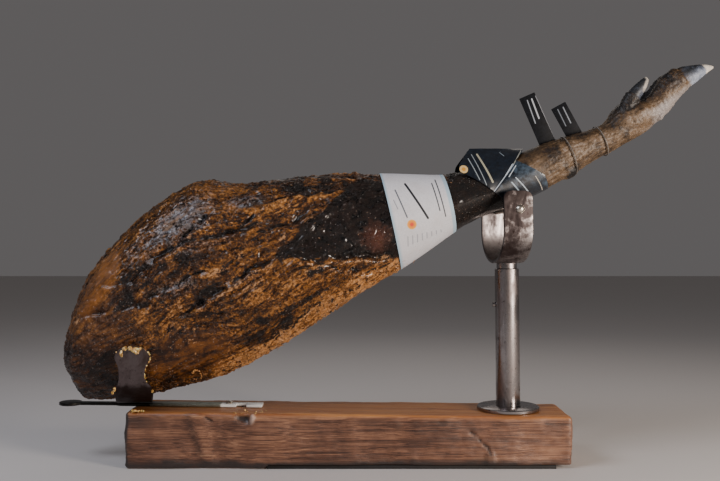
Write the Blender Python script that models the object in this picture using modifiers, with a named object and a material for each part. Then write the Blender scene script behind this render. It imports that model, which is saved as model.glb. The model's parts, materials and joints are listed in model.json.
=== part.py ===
"""A whole cured ham on its carving stand.

The leg lies from the rump, in a steel cradle at the low end, up to the trotter, whose shank rests
on a cross bolt in a U-shaped steel fork. Cradle and fork stand on one rough wooden beam.

Frame: metres, +Z up, +X along the beam from the cradle to the fork, -Y towards the labelled side.
The origin is on the surface that the stand is on, under the middle of the beam.
"""

import math
from collections import namedtuple

import bmesh
import bpy
from mathutils import Matrix, Vector

MM = 0.001
GAP = 0.0003  # clearance between pieces that touch

# Wooden beam
BEAM_LENGTH = 0.481
BEAM_DEPTH = 0.085
BEAM_TOP_MIDDLE = 0.0585  # height of the top face at the middle
BEAM_FALL = 0.0105  # the top face falls this much for each metre towards the fork
BEAM_EDGE = 0.004
REBATE_START = -0.089  # from here to the fork's end the underside is cut up to clear the pad
REBATE_HEIGHT = 0.004

# Pad under the beam
PAD_X = (-0.088, 0.223)
PAD_DEPTH = 0.078
PAD_THICKNESS = REBATE_HEIGHT - GAP

# Post and flange
POST_X = 0.1778
POST_RADIUS = 0.0134
POST_TOP = 0.2140
FLANGE_RADIUS = 0.0345
FLANGE_THICKNESS = 0.0036
STEM_RADIUS = 0.0113
SET_SCREW_RADIUS = 0.0026
SET_SCREW_HEIGHT = 0.174
SET_SCREW_REACH = 0.0026

# Fork
FORK_TURN = math.radians(12.0)
FORK_INNER_RADIUS = 0.0330
FORK_THICKNESS = 0.0030
FORK_WIDTH = 0.0330
FORK_BOTTOM = 0.2200
FORK_TOP = 0.2990
FORK_CORNER = 0.0085  # how much of each top corner is cut off
CORNER_CUTTER = 0.0400
BOLT_RADIUS = 0.0030
BOLT_OFFSET = 0.0020  # from the middle of the band towards the trotter
BOLT_HEAD_RADIUS = 0.0052
BOLT_HEIGHT = 0.2772

# Cradle and the flat bar under it
CRADLE_X = -0.2390
CRADLE_TURN = math.radians(12)
CRADLE_INNER_RADIUS = 0.0618
CRADLE_THICKNESS = 0.0025
CRADLE_ARM_RISE = 0.0040  # straight part of each arm above the half pipe
CRADLE_BASE_WIDTH = 0.0390
CRADLE_WAIST_WIDTH = 0.0270
CRADLE_HEAD_WIDTH = 0.0380
BAR_THICKNESS = 0.0030
BAR_DEPTH = 0.0160
BAR_X = (-0.3235, -0.0965)
PADDLE_RADIUS = 0.0125
NECK_DEPTH = 0.0085
NECK_END = -0.254

# Labels, seals and tags
PAPER = 0.0006
STRAP_RADIUS = 0.0010
TAG_THICKNESS = 0.0009

AROUND = 24  # points round the leg
STEPS = 3  # rings from one station of the leg to the next

# A station is a cross-section through the leg: the highest and the lowest point of its edge as
# (x, z) in mm, half its width across, how much wider it is above than below, and its y in mm.
Station = namedtuple("Station", "top bottom half_width egg y")

LEG = [
    Station((-316.0, 134.0), (-316.5, 106.0), 16.0, 0.00, 0.0),
    Station((-311.5, 147.0), (-311.0, 96.0), 33.0, 0.05, 0.0),
    Station((-302.0, 173.0), (-301.0, 80.0), 48.0, 0.10, 0.0),
    Station((-289.0, 206.0), (-289.0, 69.5), 58.0, 0.18, 0.0),
    Station((-268.0, 233.0), (-264.0, 68.2), 63.0, 0.22, 0.0),
    Station((-240.0, 262.0), (-229.0, 71.0), 65.0, 0.25, 0.0),
    Station((-208.0, 290.0), (-190.0, 82.0), 68.0, 0.24, 0.0),
    Station((-165.0, 312.5), (-140.0, 94.5), 70.5, 0.18, 0.0),
    Station((-125.0, 308.0), (-85.0, 122.0), 70.0, 0.12, 0.0),
    Station((-80.0, 313.0), (-32.0, 156.0), 66.0, 0.08, 0.0),
    Station((-30.0, 318.0), (17.0, 189.0), 59.0, 0.05, 0.0),
    Station((34.0, 320.0), (58.0, 213.0), 50.5, 0.02, 0.0),
    Station((72.0, 319.0), (91.0, 235.5), 44.0, 0.00, 0.0),
    Station((104.0, 318.5), (119.0, 255.5), 38.5, 0.00, 0.0),
    Station((135.0, 325.0), (148.0, 271.0), 32.0, 0.00, 0.0),
    Station((172.0, 336.0), (186.0, 286.5), 26.5, 0.00, 0.0),
    Station((210.4, 351.0), (222.0, 304.0), 24.0, 0.00, 0.0),
    Station((236.5, 359.0), (251.0, 319.5), 22.0, 0.00, 0.0),
    Station((262.0, 367.0), (276.0, 336.0), 19.0, 0.00, 0.0),
    Station((284.0, 375.5), (297.0, 346.5), 18.0, 0.00, 0.0),
    Station((295.0, 391.0), (318.0, 358.5), 20.5, 0.00, 0.0),
    Station((306.0, 400.0), (333.0, 367.5), 22.0, 0.00, 0.0),
    Station((320.0, 402.0), (345.0, 380.0), 20.0, 0.00, 0.0),
    Station((330.0, 404.0), (352.0, 390.0), 15.0, 0.00, 0.0),
]

TOE = [
    Station((316.0, 394.0), (337.0, 373.0), 8.5, 0.0, -9.5),
    Station((331.0, 405.0), (353.0, 385.0), 10.5, 0.0, -9.8),
    Station((340.0, 418.0), (364.0, 399.0), 11.0, 0.0, -10.0),
    Station((348.5, 430.0), (374.5, 411.5), 11.0, 0.0, -10.0),
    Station((359.0, 436.5), (384.5, 419.0), 10.5, 0.0, -9.5),
    Station((374.0, 439.5), (393.0, 426.5), 9.0, 0.0, -8.5),
    Station((390.0, 441.5), (399.5, 432.0), 6.0, 0.0, -7.0),
    Station((402.0, 441.0), (404.5, 435.5), 3.0, 0.0, -6.0),
    Station((406.5, 439.5), (406.8, 437.5), 1.2, 0.0, -5.5),
]

DEWCLAW = [
    Station((296.5, 386.0), (311.0, 376.0), 7.0, 0.0, -9.0),
    Station((301.5, 399.5), (316.5, 389.5), 8.5, 0.0, -11.0),
    Station((306.5, 410.0), (321.5, 398.5), 8.5, 0.0, -13.0),
    Station((314.0, 418.0), (327.0, 407.0), 7.0, 0.0, -14.0),
    Station((322.0, 424.5), (331.5, 416.5), 5.0, 0.0, -14.5),
    Station((328.0, 428.0), (333.0, 423.0), 2.5, 0.0, -14.5),
]

FAR_TOE_SHIFT = (-4.0, -3.0)  # the far toe ends a little short of the near one
FAR_DEWCLAW_SHIFT = (4.0, -4.0)  # and the far dewclaw sits a little lower

# Stations, counted along LEG, between which the labels and seals sit
BAND_SPAN = (11.0, 13.0)
STRAP_PLACES = (17.08, 18.56)

# The card collar round the shank, and its outline seen from the side as (x, z)
COLLAR_SPAN = (13.0, 17.0)
CARD_CLEARANCE = 0.0007
RIDGE_HEIGHT = 0.3478
FULL_PINCH_LIFT = 0.012
COLLAR_OUTLINE = [
    (0.1205, 0.3210), (0.1215, 0.3290), (0.1375, 0.3520), (0.1975, 0.3520), (0.1830, 0.3330),
    (0.2140, 0.3165), (0.2210, 0.3030), (0.2070, 0.2890), (0.1800, 0.2740), (0.1660, 0.2930),
    (0.1440, 0.3080),
]


# ---------------------------------------------------------------- tools

def clear_scene():
    for old in list(bpy.data.objects):
        bpy.data.objects.remove(old, do_unlink=True)
    for old in list(bpy.data.collections):
        bpy.data.collections.remove(old)


def new_collection(name):
    collection = bpy.data.collections.new(name)
    bpy.context.scene.collection.children.link(collection)
    return collection


def make_material(name, colour, roughness, metallic=0.0):
    material = bpy.data.materials.new(name)
    material.use_nodes = True
    shader = material.node_tree.nodes["Principled BSDF"]
    shader.inputs["Base Color"].default_value = (*colour, 1.0)
    shader.inputs["Roughness"].default_value = roughness
    shader.inputs["Metallic"].default_value = metallic
    material.diffuse_color = (*colour, 1.0)
    return material


def add_object(name, data, collection, material=None):
    made = bpy.data.objects.new(name, data)
    collection.objects.link(made)
    if material is not None:
        data.materials.append(material)
    return made


def mesh_of(work, name):
    bmesh.ops.recalc_face_normals(work, faces=work.faces)
    mesh = bpy.data.meshes.new(name)
    work.to_mesh(mesh)
    work.free()
    return mesh


def smooth(made, angle=40.0):
    made.data.shade_smooth()
    made.data.set_sharp_from_angle(angle=math.radians(angle))
    return made


def make_cutter(name, mesh):
    cutter = add_object(name, mesh, cutters)
    cutter.hide_render = True
    cutter.display_type = "WIRE"
    return cutter


def combine(made, cutter, operation):
    change = made.modifiers.new(f"{operation.lower()}_{cutter.name}", "BOOLEAN")
    change.operation = operation
    change.solver = "EXACT"
    change.object = cutter


def bevel(made, width, segments=2, angle=30.0):
    change = made.modifiers.new("edges", "BEVEL")
    change.width = width
    change.segments = segments
    change.limit_method = "ANGLE"
    change.angle_limit = math.radians(angle)


def box_mesh(name, low, high):
    work = bmesh.new()
    bmesh.ops.create_cube(work, size=1.0)
    size = Vector(high) - Vector(low)
    middle = (Vector(high) + Vector(low)) / 2
    bmesh.ops.scale(work, vec=size, verts=work.verts)
    bmesh.ops.translate(work, vec=middle, verts=work.verts)
    return mesh_of(work, name)


def cylinder_mesh(name, radius, length, segments=40):
    """A cylinder along Z that starts at z = 0."""
    work = bmesh.new()
    bmesh.ops.create_cone(
        work, cap_ends=True, segments=segments, radius1=radius, radius2=radius, depth=length
    )
    bmesh.ops.translate(work, vec=(0, 0, length / 2), verts=work.verts)
    return mesh_of(work, name)


def turned(name, profile, collection, material, steps=40):
    """A solid turned round Z from a profile of (radius, height), listed from the top down."""
    mesh = bpy.data.meshes.new(name)
    points = [(radius, 0.0, height) for radius, height in profile]
    mesh.from_pydata(points, [(i, i + 1) for i in range(len(points) - 1)], [])
    made = add_object(name, mesh, collection, material)
    screw = made.modifiers.new("turn", "SCREW")
    screw.steps = steps
    screw.render_steps = steps
    screw.use_merge_vertices = True
    screw.merge_threshold = 0.00005
    return made


def plate_from_outline(name, outline, thickness, collection, material):
    """A flat plate in its own XY plane, centred on it, cut to an outline of (x, y)."""
    curve = bpy.data.curves.new(name, "CURVE")
    curve.dimensions = "2D"
    curve.fill_mode = "BOTH"
    curve.extrude = thickness / 2
    spline = curve.splines.new("POLY")
    spline.points.add(len(outline) - 1)
    for point, (x, y) in zip(spline.points, outline):
        point.co = (x, y, 0, 1)
    spline.use_cyclic_u = True
    return add_object(name, curve, collection, material)


def arc(centre, radius, start, end, count):
    """Points on an arc, with angles in degrees."""
    angles = [math.radians(start + (end - start) * i / (count - 1)) for i in range(count)]
    return [(centre[0] + radius * math.cos(a), centre[1] + radius * math.sin(a)) for a in angles]


# ---------------------------------------------------------------- cross-sections

def spline_value(values, place):
    """The value at a place along evenly spaced values, on a smooth curve through them."""
    last = len(values) - 1
    i = min(int(place), last - 1)
    t = place - i
    a, b, c, d = (values[min(max(i + k, 0), last)] for k in (-1, 0, 1, 2))
    return 0.5 * (
        2 * b + (c - a) * t + (2 * a - 5 * b + 4 * c - d) * t**2 + (3 * b - a - 3 * c + d) * t**3
    )


def section(stations, place, grow=0.0, shift=(0.0, 0.0), side=1, around=AROUND):
    """The ring of points round a station, or round a place between two, in metres."""
    rows = [(*s.top, *s.bottom, s.half_width, s.egg, s.y) for s in stations]
    values = [spline_value(column, place) for column in zip(*rows)]
    top_x, top_z, low_x, low_z, half_width, egg, y = values
    top = Vector((top_x + shift[0], 0, top_z + shift[1])) * MM
    low = Vector((low_x + shift[0], 0, low_z + shift[1])) * MM
    up = (top - low).normalized()
    half_height = (top - low).length / 2 + grow
    half_width = half_width * MM + grow
    middle = (top + low) / 2 + Vector((0, side * y * MM, 0))
    ring = []
    for i in range(around):
        angle = math.tau * i / around
        across = half_width * math.sin(angle) * (1 + egg * math.cos(angle))
        ring.append(middle + up * half_height * math.cos(angle) + Vector((0, across, 0)))
    return ring


def loft(name, rings):
    """A closed solid through rings of equally many points."""
    work = bmesh.new()
    rows = [[work.verts.new(point) for point in ring] for ring in rings]
    count = len(rings[0])
    for first, second in zip(rows, rows[1:]):
        for i in range(count):
            j = (i + 1) % count
            work.faces.new((first[i], first[j], second[j], second[i]))
    work.faces.new(rows[0])
    work.faces.new(reversed(rows[-1]))
    return mesh_of(work, name)


def sleeve(name, outer, inner):
    """A closed solid between outer and inner rings, open along its middle."""
    work = bmesh.new()
    rows = [[work.verts.new(point) for point in ring] for ring in outer + inner[::-1]]
    rows.append(rows[0])
    count = len(outer[0])
    for first, second in zip(rows, rows[1:]):
        for i in range(count):
            j = (i + 1) % count
            work.faces.new((first[i], first[j], second[j], second[i]))
    return mesh_of(work, name)


def places(first, last, steps=STEPS):
    count = round((last - first) * steps)
    return [first + i / steps for i in range(count + 1)]


# ---------------------------------------------------------------- the ham

def flesh_relief(point):
    """How far the labelled side stands out (+) or sinks (-) at a point, in metres."""
    if point.y > 0:
        return 0.0
    x, z = point.x, point.z
    # The long seam runs from the fold beside the band down to the rump.
    seam_z = 0.228 + 0.62 * min(x + 0.09, 0.0) + 0.10 * max(x + 0.09, 0.0)
    below = (z - seam_z) / 0.014
    fade = min(max((x + 0.24) / 0.05, 0.0), 1.0) * min(max((0.03 - x) / 0.05, 0.0), 1.0)
    seam = -0.0045 * math.exp(-below * below)
    lobe = 0.0040 * math.exp(-((below + 2.6) / 1.8) ** 2)
    return fade * (seam + lobe)


def make_ham():
    leg = loft("ham", [section(LEG, s) for s in places(0, len(LEG) - 1)])
    for vertex in leg.vertices:
        vertex.co.y -= flesh_relief(vertex.co)
    ham = add_object("ham", leg, parts, materials["cured_ham"])
    for side, word in ((1, "near"), (-1, "far")):
        toe_shift = FAR_TOE_SHIFT if side < 0 else (0.0, 0.0)
        claw_shift = FAR_DEWCLAW_SHIFT if side < 0 else (0.0, 0.0)
        shapes = (("toe", TOE, toe_shift, 12), ("dewclaw", DEWCLAW, claw_shift, 10))
        for kind, stations, shift, around in shapes:
            rings = [
                section(stations, s, shift=shift, side=side, around=around)
                for s in places(0, len(stations) - 1, 2)
            ]
            cutter = make_cutter(f"{word}_{kind}", loft(f"{word}_{kind}", rings))
            combine(ham, cutter, "UNION")
    return ham


def make_band_label():
    """The broad paper band round the thin end of the meat."""
    spots = places(*BAND_SPAN)
    inner = [section(LEG, s, grow=GAP) for s in spots]
    outer = [section(LEG, s, grow=GAP + PAPER) for s in spots]
    band = add_object("band_label", sleeve("band_label", outer, inner), parts, materials["paper"])
    return band


def make_neck_label():
    """The folded card collar round the shank: a ridge on top, cut to a slanted outline."""

    def collar_ring(place, thickness):
        """The shank's section grown by the card, with its top drawn up to the straight ridge."""
        ring = section(LEG, place, grow=CARD_CLEARANCE + thickness)
        lift = max(RIDGE_HEIGHT + thickness - max(point.z for point in ring), 0.0)
        pinch = 0.8 * min(lift / FULL_PINCH_LIFT, 1.0)
        drawn = []
        for i, point in enumerate(ring):
            share = max(1 - 4 * min(i, AROUND - i) / AROUND, 0.0)  # 1 on top, 0 at the side
            drawn.append(Vector((point.x, point.y * (1 - pinch * share**2), point.z + lift * share)))
        return drawn

    spots = places(*COLLAR_SPAN)
    inner = [collar_ring(s, 0.0) for s in spots]
    outer = [collar_ring(s, PAPER) for s in spots]
    label = add_object("neck_label", sleeve("neck_label", outer, inner), parts, materials["dark_card"])
    rings = [[Vector((x, y, z)) for x, z in COLLAR_OUTLINE] for y in (-0.08, 0.08)]
    cutter = make_cutter("neck_label_outline", loft("neck_label_outline", rings))
    combine(label, cutter, "INTERSECT")
    return label


def make_straps():
    """Two thin seal straps drawn tight round the shank."""
    for number, place in enumerate(STRAP_PLACES, start=1):
        ring = section(LEG, place, grow=GAP * 2 + STRAP_RADIUS)
        curve = bpy.data.curves.new(f"seal_strap_{number}", "CURVE")
        curve.dimensions = "3D"
        curve.bevel_depth = STRAP_RADIUS
        curve.bevel_resolution = 1
        curve.use_fill_caps = True
        spline = curve.splines.new("POLY")
        spline.points.add(len(ring) - 1)
        for point, where in zip(spline.points, ring):
            point.co = (*where, 1)
        spline.use_cyclic_u = True
        add_object(f"seal_strap_{number}", curve, parts, materials["strap"])


def make_tag(name, foot, top, width, y):
    """A flat tag that stands on the shank, from its foot to its top, facing -Y."""
    foot = Vector((foot[0], y, foot[1]))
    top = Vector((top[0], y, top[1]))
    length = (top - foot).length
    lean = math.atan2(top.x - foot.x, top.z - foot.z)
    tag = add_object(
        name, box_mesh(name, (-width / 2, -TAG_THICKNESS / 2, 0), (width / 2, TAG_THICKNESS / 2, length)),
        parts, materials["black_tag"],
    )
    tag.location = foot
    tag.rotation_euler = (0, lean, 0)
    return tag


# ---------------------------------------------------------------- the stand

def beam_top(x):
    return BEAM_TOP_MIDDLE - BEAM_FALL * x


def make_beam():
    """The rough beam: hewn faces that wander by a millimetre or two, with flat ends below."""
    work = bmesh.new()
    bmesh.ops.create_cube(work, size=1.0)
    long_edges = [e for e in work.edges if abs((e.verts[0].co - e.verts[1].co).x) > 0.5]
    bmesh.ops.subdivide_edges(work, edges=long_edges, cuts=19, use_grid_fill=True)
    upright_edges = [e for e in work.edges if abs((e.verts[0].co - e.verts[1].co).z) > 0.5]
    bmesh.ops.subdivide_edges(work, edges=upright_edges, cuts=3, use_grid_fill=True)
    for vertex in work.verts:
        x = vertex.co.x * BEAM_LENGTH
        height = vertex.co.z + 0.5
        side = math.copysign(1, vertex.co.y)
        hewn = 0.0010 * math.sin(31 * x + 2.0 * height) + 0.0007 * math.sin(67 * x + side)
        scoop = 0.0020 * math.exp(-(((x + 0.162) / 0.022) ** 2)) if side < 0 else 0.0
        inset = 0.0020 + hewn + scoop * math.sin(math.pi * height)
        vertex.co = (x, side * (BEAM_DEPTH / 2 - inset), height * beam_top(x))
    beam = add_object("beam", mesh_of(work, "beam"), parts, materials["wood"])
    bevel(beam, BEAM_EDGE, segments=2, angle=50.0)
    low = (REBATE_START, -BEAM_DEPTH, -0.01)
    high = (BEAM_LENGTH, BEAM_DEPTH, REBATE_HEIGHT)
    combine(beam, make_cutter("rebate", box_mesh("rebate", low, high)), "DIFFERENCE")
    return beam


def make_pad():
    low = (PAD_X[0], -PAD_DEPTH / 2, 0.0)
    high = (PAD_X[1], PAD_DEPTH / 2, PAD_THICKNESS)
    return add_object("base_pad", box_mesh("base_pad", low, high), parts, materials["rubber"])


def make_post():
    """The round flange on the beam, the tube that stands on it and the stem of the fork."""
    flange_base = beam_top(POST_X - FLANGE_RADIUS) + GAP
    flange_top = flange_base + FLANGE_THICKNESS
    rim = 0.0008
    flange = turned(
        "flange",
        [(0, FLANGE_THICKNESS), (FLANGE_RADIUS - rim, FLANGE_THICKNESS),
         (FLANGE_RADIUS, FLANGE_THICKNESS - rim), (FLANGE_RADIUS, 0), (0, 0)],
        parts, materials["steel"], steps=48,
    )
    flange.location = (POST_X, 0, flange_base)
    post_base = flange_top + GAP
    length = POST_TOP - post_base
    post = turned(
        "post",
        [(0, length), (POST_RADIUS - 0.0006, length), (POST_RADIUS, length - 0.0006),
         (POST_RADIUS, 0), (0, 0)],
        parts, materials["steel"],
    )
    post.location = (POST_X, 0, post_base)
    stem_length = FORK_BOTTOM - POST_TOP - 2 * GAP
    stem = turned(
        "fork_stem",
        [(0, stem_length), (STEM_RADIUS, stem_length), (STEM_RADIUS, 0), (0, 0)],
        parts, materials["steel"],
    )
    stem.location = (POST_X, 0, POST_TOP + GAP)
    screw = add_object(
        "set_screw",
        cylinder_mesh("set_screw", SET_SCREW_RADIUS, SET_SCREW_REACH, segments=16),
        parts, materials["steel"],
    )
    screw.location = (POST_X - POST_RADIUS - GAP, 0, SET_SCREW_HEIGHT)
    screw.rotation_euler = (0, -math.pi / 2, 0)
    for made in (flange, post, stem):
        smooth(made)


def make_fork():
    """A flat band bent into a U, with its cross bolt under the shank."""
    outer_radius = FORK_INNER_RADIUS + FORK_THICKNESS
    bend_height = FORK_BOTTOM + outer_radius
    inner = arc((0, bend_height), FORK_INNER_RADIUS, 180, 360, 17)
    outer = arc((0, bend_height), outer_radius, 360, 180, 17)
    outline = [(-FORK_INNER_RADIUS, FORK_TOP), *inner, (FORK_INNER_RADIUS, FORK_TOP),
               (outer_radius, FORK_TOP), *outer, (-outer_radius, FORK_TOP)]
    work = bmesh.new()
    for x in (-FORK_WIDTH / 2, FORK_WIDTH / 2):
        for y, z in outline:
            work.verts.new((x, y, z))
    work.verts.ensure_lookup_table()
    count = len(outline)
    near, far = list(work.verts[:count]), list(work.verts[count:])
    for i in range(count):
        j = (i + 1) % count
        work.faces.new((near[i], near[j], far[j], far[i]))
    for row in (near, far):
        for i in range(count // 2 - 1):
            work.faces.new((row[i], row[i + 1], row[count - 2 - i], row[count - 1 - i]))
    fork = add_object("fork", mesh_of(work, "fork"), parts, materials["steel"])
    fork.location = (POST_X, 0, 0)
    fork.rotation_euler = (0, 0, FORK_TURN)
    for side in (-1, 1):
        for end in (-1, 1):
            half = CORNER_CUTTER / 2
            corner = box_mesh("corner", (-half, -0.01, -half), (half, 0.01, half))
            cutter = make_cutter(f"corner_{side}_{end}", corner)
            turn = Matrix.Rotation(FORK_TURN, 4, "Z")
            reach = FORK_WIDTH / 2 - FORK_CORNER + CORNER_CUTTER / math.sqrt(2)
            place = Vector((side * reach, end * (outer_radius - 0.0015), FORK_TOP))
            spin = Matrix.Rotation(math.radians(45), 4, "Y")
            stand = Matrix.Translation((POST_X, 0, 0)) @ turn
            cutter.matrix_world = stand @ Matrix.Translation(place) @ spin
            combine(fork, cutter, "DIFFERENCE")
    make_cross_bolt(fork, outer_radius)
    return smooth(fork, 35)


def make_cross_bolt(fork, outer_radius):
    reach = outer_radius + 0.0012
    turn = Matrix.Translation((POST_X, 0, BOLT_HEIGHT)) @ Matrix.Rotation(FORK_TURN, 4, "Z")
    turn = turn @ Matrix.Translation((BOLT_OFFSET, 0, 0))
    lay_down = Matrix.Rotation(math.radians(90), 4, "X")  # its axis then runs towards -Y
    hole = make_cutter("bolt_hole", cylinder_mesh("bolt_hole", BOLT_RADIUS + GAP, 0.1, 24))
    hole.matrix_world = turn @ Matrix.Translation((0, 0.05, 0)) @ lay_down
    combine(fork, hole, "DIFFERENCE")
    head_start = outer_radius + GAP
    dome = arc((0, head_start - 0.0018), BOLT_HEAD_RADIUS, 90, 20, 6)
    profile = [(0.0, dome[0][1]), *dome[1:], (dome[-1][0], head_start),
               (BOLT_RADIUS, head_start), (BOLT_RADIUS, -reach), (0.0, -reach)]
    bolt = turned("cross_bolt", profile, parts, materials["steel"], steps=24)
    bolt.matrix_world = turn @ lay_down
    smooth(bolt)


def eased(value, start, end):
    """0 before start, 1 after end, and a smooth rise between them."""
    t = min(max((value - start) / (end - start), 0.0), 1.0)
    return t * t * (3 - 2 * t)


def cradle_width(share):
    """Width of the cradle's band, from its base (0) to the top of an arm (1)."""
    waisting = CRADLE_WAIST_WIDTH - CRADLE_BASE_WIDTH
    heading = CRADLE_HEAD_WIDTH - CRADLE_WAIST_WIDTH
    width = CRADLE_BASE_WIDTH + waisting * eased(share, 0.46, 0.60) + heading * eased(share, 0.74, 0.88)
    crown = max((share - 0.88) / 0.12, 0.0)
    return width * math.sqrt(1 - 0.85 * crown**2)


def make_cradle():
    """A steel band bent into a half pipe that holds the rump, waisted at each arm."""
    outer_radius = CRADLE_INNER_RADIUS + CRADLE_THICKNESS
    base = beam_top(CRADLE_X) + GAP + BAR_THICKNESS + 3 * GAP
    centre = base + outer_radius
    arc_length = outer_radius * math.pi / 2
    half_length = arc_length + CRADLE_ARM_RISE
    steps = 36
    columns = 2
    work = bmesh.new()
    rows = []
    for i in range(-steps // 2, steps // 2 + 1):
        along = half_length * i / (steps // 2)
        angle = max(min(along, arc_length), -arc_length) / outer_radius
        rise = max(abs(along) - arc_length, 0.0)
        y = outer_radius * math.sin(angle)
        z = centre - outer_radius * math.cos(angle) + rise
        width = cradle_width(abs(along) / half_length)
        rows.append([
            work.verts.new((width * (j / columns - 0.5), y, z)) for j in range(columns + 1)
        ])
    for first, second in zip(rows, rows[1:]):
        for j in range(columns):
            work.faces.new((first[j], first[j + 1], second[j + 1], second[j]))
    cradle = add_object("cradle", mesh_of(work, "cradle"), parts, materials["steel"])
    thicken = cradle.modifiers.new("sheet", "SOLIDIFY")
    thicken.thickness = CRADLE_THICKNESS
    thicken.offset = cradle_offset(cradle)
    cradle.location = (CRADLE_X, 0, 0)
    cradle.rotation_euler = (0, 0, CRADLE_TURN)
    return smooth(cradle, 50)


def cradle_offset(cradle):
    """Solidify's side that thickens towards the inside of the half pipe."""
    lowest = min(cradle.data.polygons, key=lambda face: face.center.z)
    return 1.0 if lowest.normal.z > 0 else -1.0


def make_bar():
    """The flat bar that lies on the beam under the cradle: paddle, neck, bar and slotted end."""
    start, end = BAR_X
    half = BAR_DEPTH / 2
    neck = NECK_DEPTH / 2
    paddle_x = start + PADDLE_RADIUS
    open_angle = math.degrees(math.asin(neck / PADDLE_RADIUS))
    paddle = arc((paddle_x, 0), PADDLE_RADIUS, open_angle, 360 - open_angle, 15)
    outline = [*paddle, (NECK_END - 0.006, -neck), (NECK_END, -half), (end, -half),
               (end, half), (NECK_END, half), (NECK_END - 0.006, neck)]
    outline = [(x - CRADLE_X, y) for x, y in outline]
    bar = plate_from_outline("cradle_bar", outline, BAR_THICKNESS, parts, materials["steel"])
    middle = beam_top(CRADLE_X) + 1.5 * GAP + BAR_THICKNESS / 2
    bar.location = (CRADLE_X, 0, middle)
    bar.rotation_euler = (0, math.atan(BEAM_FALL), 0)
    screw_x = end - 0.037
    top = middle + BAR_THICKNESS / 2 - BEAM_FALL * (screw_x - CRADLE_X)
    dome = arc((0, -0.0026), 0.0052, 90, 30, 6)
    screw = turned("bar_screw", [(0.0, dome[0][1]), *dome[1:], (0.0045, -0.0), (0.0, -0.0)],
                   parts, materials["steel"], steps=20)
    screw.location = (screw_x, 0, top + 1.5 * GAP)
    smooth(screw)


# ---------------------------------------------------------------- build

clear_scene()
parts = new_collection("cured_ham")
cutters = new_collection("cutters")
materials = {
    "cured_ham": make_material("cured_ham", (0.26, 0.105, 0.030), 0.45),
    "paper": make_material("paper", (0.78, 0.80, 0.82), 0.60),
    "dark_card": make_material("dark_card", (0.020, 0.028, 0.045), 0.40),
    "black_tag": make_material("black_tag", (0.012, 0.012, 0.016), 0.45),
    "strap": make_material("strap", (0.34, 0.32, 0.30), 0.35),
    "wood": make_material("wood", (0.32, 0.15, 0.070), 0.45),
    "rubber": make_material("rubber", (0.015, 0.013, 0.012), 0.80),
    "steel": make_material("steel", (0.62, 0.60, 0.59), 0.28, metallic=1.0),
}

make_ham()
make_band_label()
make_neck_label()
make_straps()
make_tag("tag_long", foot=(0.2215, 0.3555), top=(0.1990, 0.4075), width=0.0185, y=-0.0020)
make_tag("tag_short", foot=(0.2520, 0.3660), top=(0.2350, 0.3970), width=0.0180, y=0.0020)
make_beam()
make_pad()
make_post()
make_fork()
make_cradle()
make_bar()
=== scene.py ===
import itertools
import json
import math
from contextlib import contextmanager

import bmesh
import bpy
import numpy as np
from mathutils import Matrix, Vector
from mathutils.bvhtree import BVHTree

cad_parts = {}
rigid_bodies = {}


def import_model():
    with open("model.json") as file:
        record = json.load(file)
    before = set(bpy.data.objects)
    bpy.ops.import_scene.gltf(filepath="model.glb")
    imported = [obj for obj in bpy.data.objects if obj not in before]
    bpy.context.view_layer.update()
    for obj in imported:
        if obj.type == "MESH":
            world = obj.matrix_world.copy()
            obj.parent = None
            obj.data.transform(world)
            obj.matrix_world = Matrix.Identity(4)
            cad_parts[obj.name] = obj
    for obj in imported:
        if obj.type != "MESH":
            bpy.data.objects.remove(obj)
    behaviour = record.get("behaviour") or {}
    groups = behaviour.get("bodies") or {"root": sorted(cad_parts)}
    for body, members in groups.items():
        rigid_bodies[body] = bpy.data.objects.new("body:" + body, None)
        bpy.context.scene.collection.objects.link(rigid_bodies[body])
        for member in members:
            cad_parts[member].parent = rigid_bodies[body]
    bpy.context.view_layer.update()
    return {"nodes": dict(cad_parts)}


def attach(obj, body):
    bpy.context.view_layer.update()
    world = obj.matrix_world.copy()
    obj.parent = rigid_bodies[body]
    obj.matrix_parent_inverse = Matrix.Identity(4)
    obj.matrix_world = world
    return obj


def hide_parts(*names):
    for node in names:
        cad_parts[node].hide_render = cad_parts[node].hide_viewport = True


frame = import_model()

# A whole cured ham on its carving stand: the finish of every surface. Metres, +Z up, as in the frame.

MM = 0.001


# ---------------------------------------------------------------- modelling tools

def activate(piece, *others):
    """Makes a piece active and selects it alone, or with the others."""
    for item in bpy.data.objects:
        item.select_set(item in (piece, *others))
    bpy.context.view_layer.objects.active = piece


@contextmanager
def edit_mode(piece):
    """Edit mode on a piece, with all of its mesh selected."""
    activate(piece)
    bpy.ops.object.mode_set(mode="EDIT")
    bpy.ops.mesh.select_all(action="SELECT")
    yield
    bpy.ops.object.mode_set(mode="OBJECT")


def apply_all(piece):
    """Applies every modifier of a piece, in order."""
    activate(piece)
    for modifier in list(piece.modifiers):
        bpy.ops.object.modifier_apply(modifier=modifier.name)


def settle(piece):
    """Puts a piece's object at the origin, with its place in its mesh."""
    activate(piece)
    bpy.ops.object.transform_apply(location=True, rotation=True, scale=True)
    return piece


def new_modifier(piece, kind, **settings):
    """Adds a modifier with its settings, to be applied later."""
    modifier = piece.modifiers.new(kind.lower(), kind)
    for name, value in settings.items():
        setattr(modifier, name, value)
    return modifier


def finish_piece(piece, material, replaces=()):
    """Gives a piece its material, hides the CAD nodes it replaces and puts it in the root body."""
    settle(piece)
    piece.data.materials.clear()
    piece.data.materials.append(material)
    for node_name in replaces:
        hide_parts(node_name)
    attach(piece, "root")
    return piece


def smooth_by_angle(piece, degrees):
    activate(piece)
    bpy.ops.object.shade_smooth_by_angle(angle=math.radians(degrees))


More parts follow.
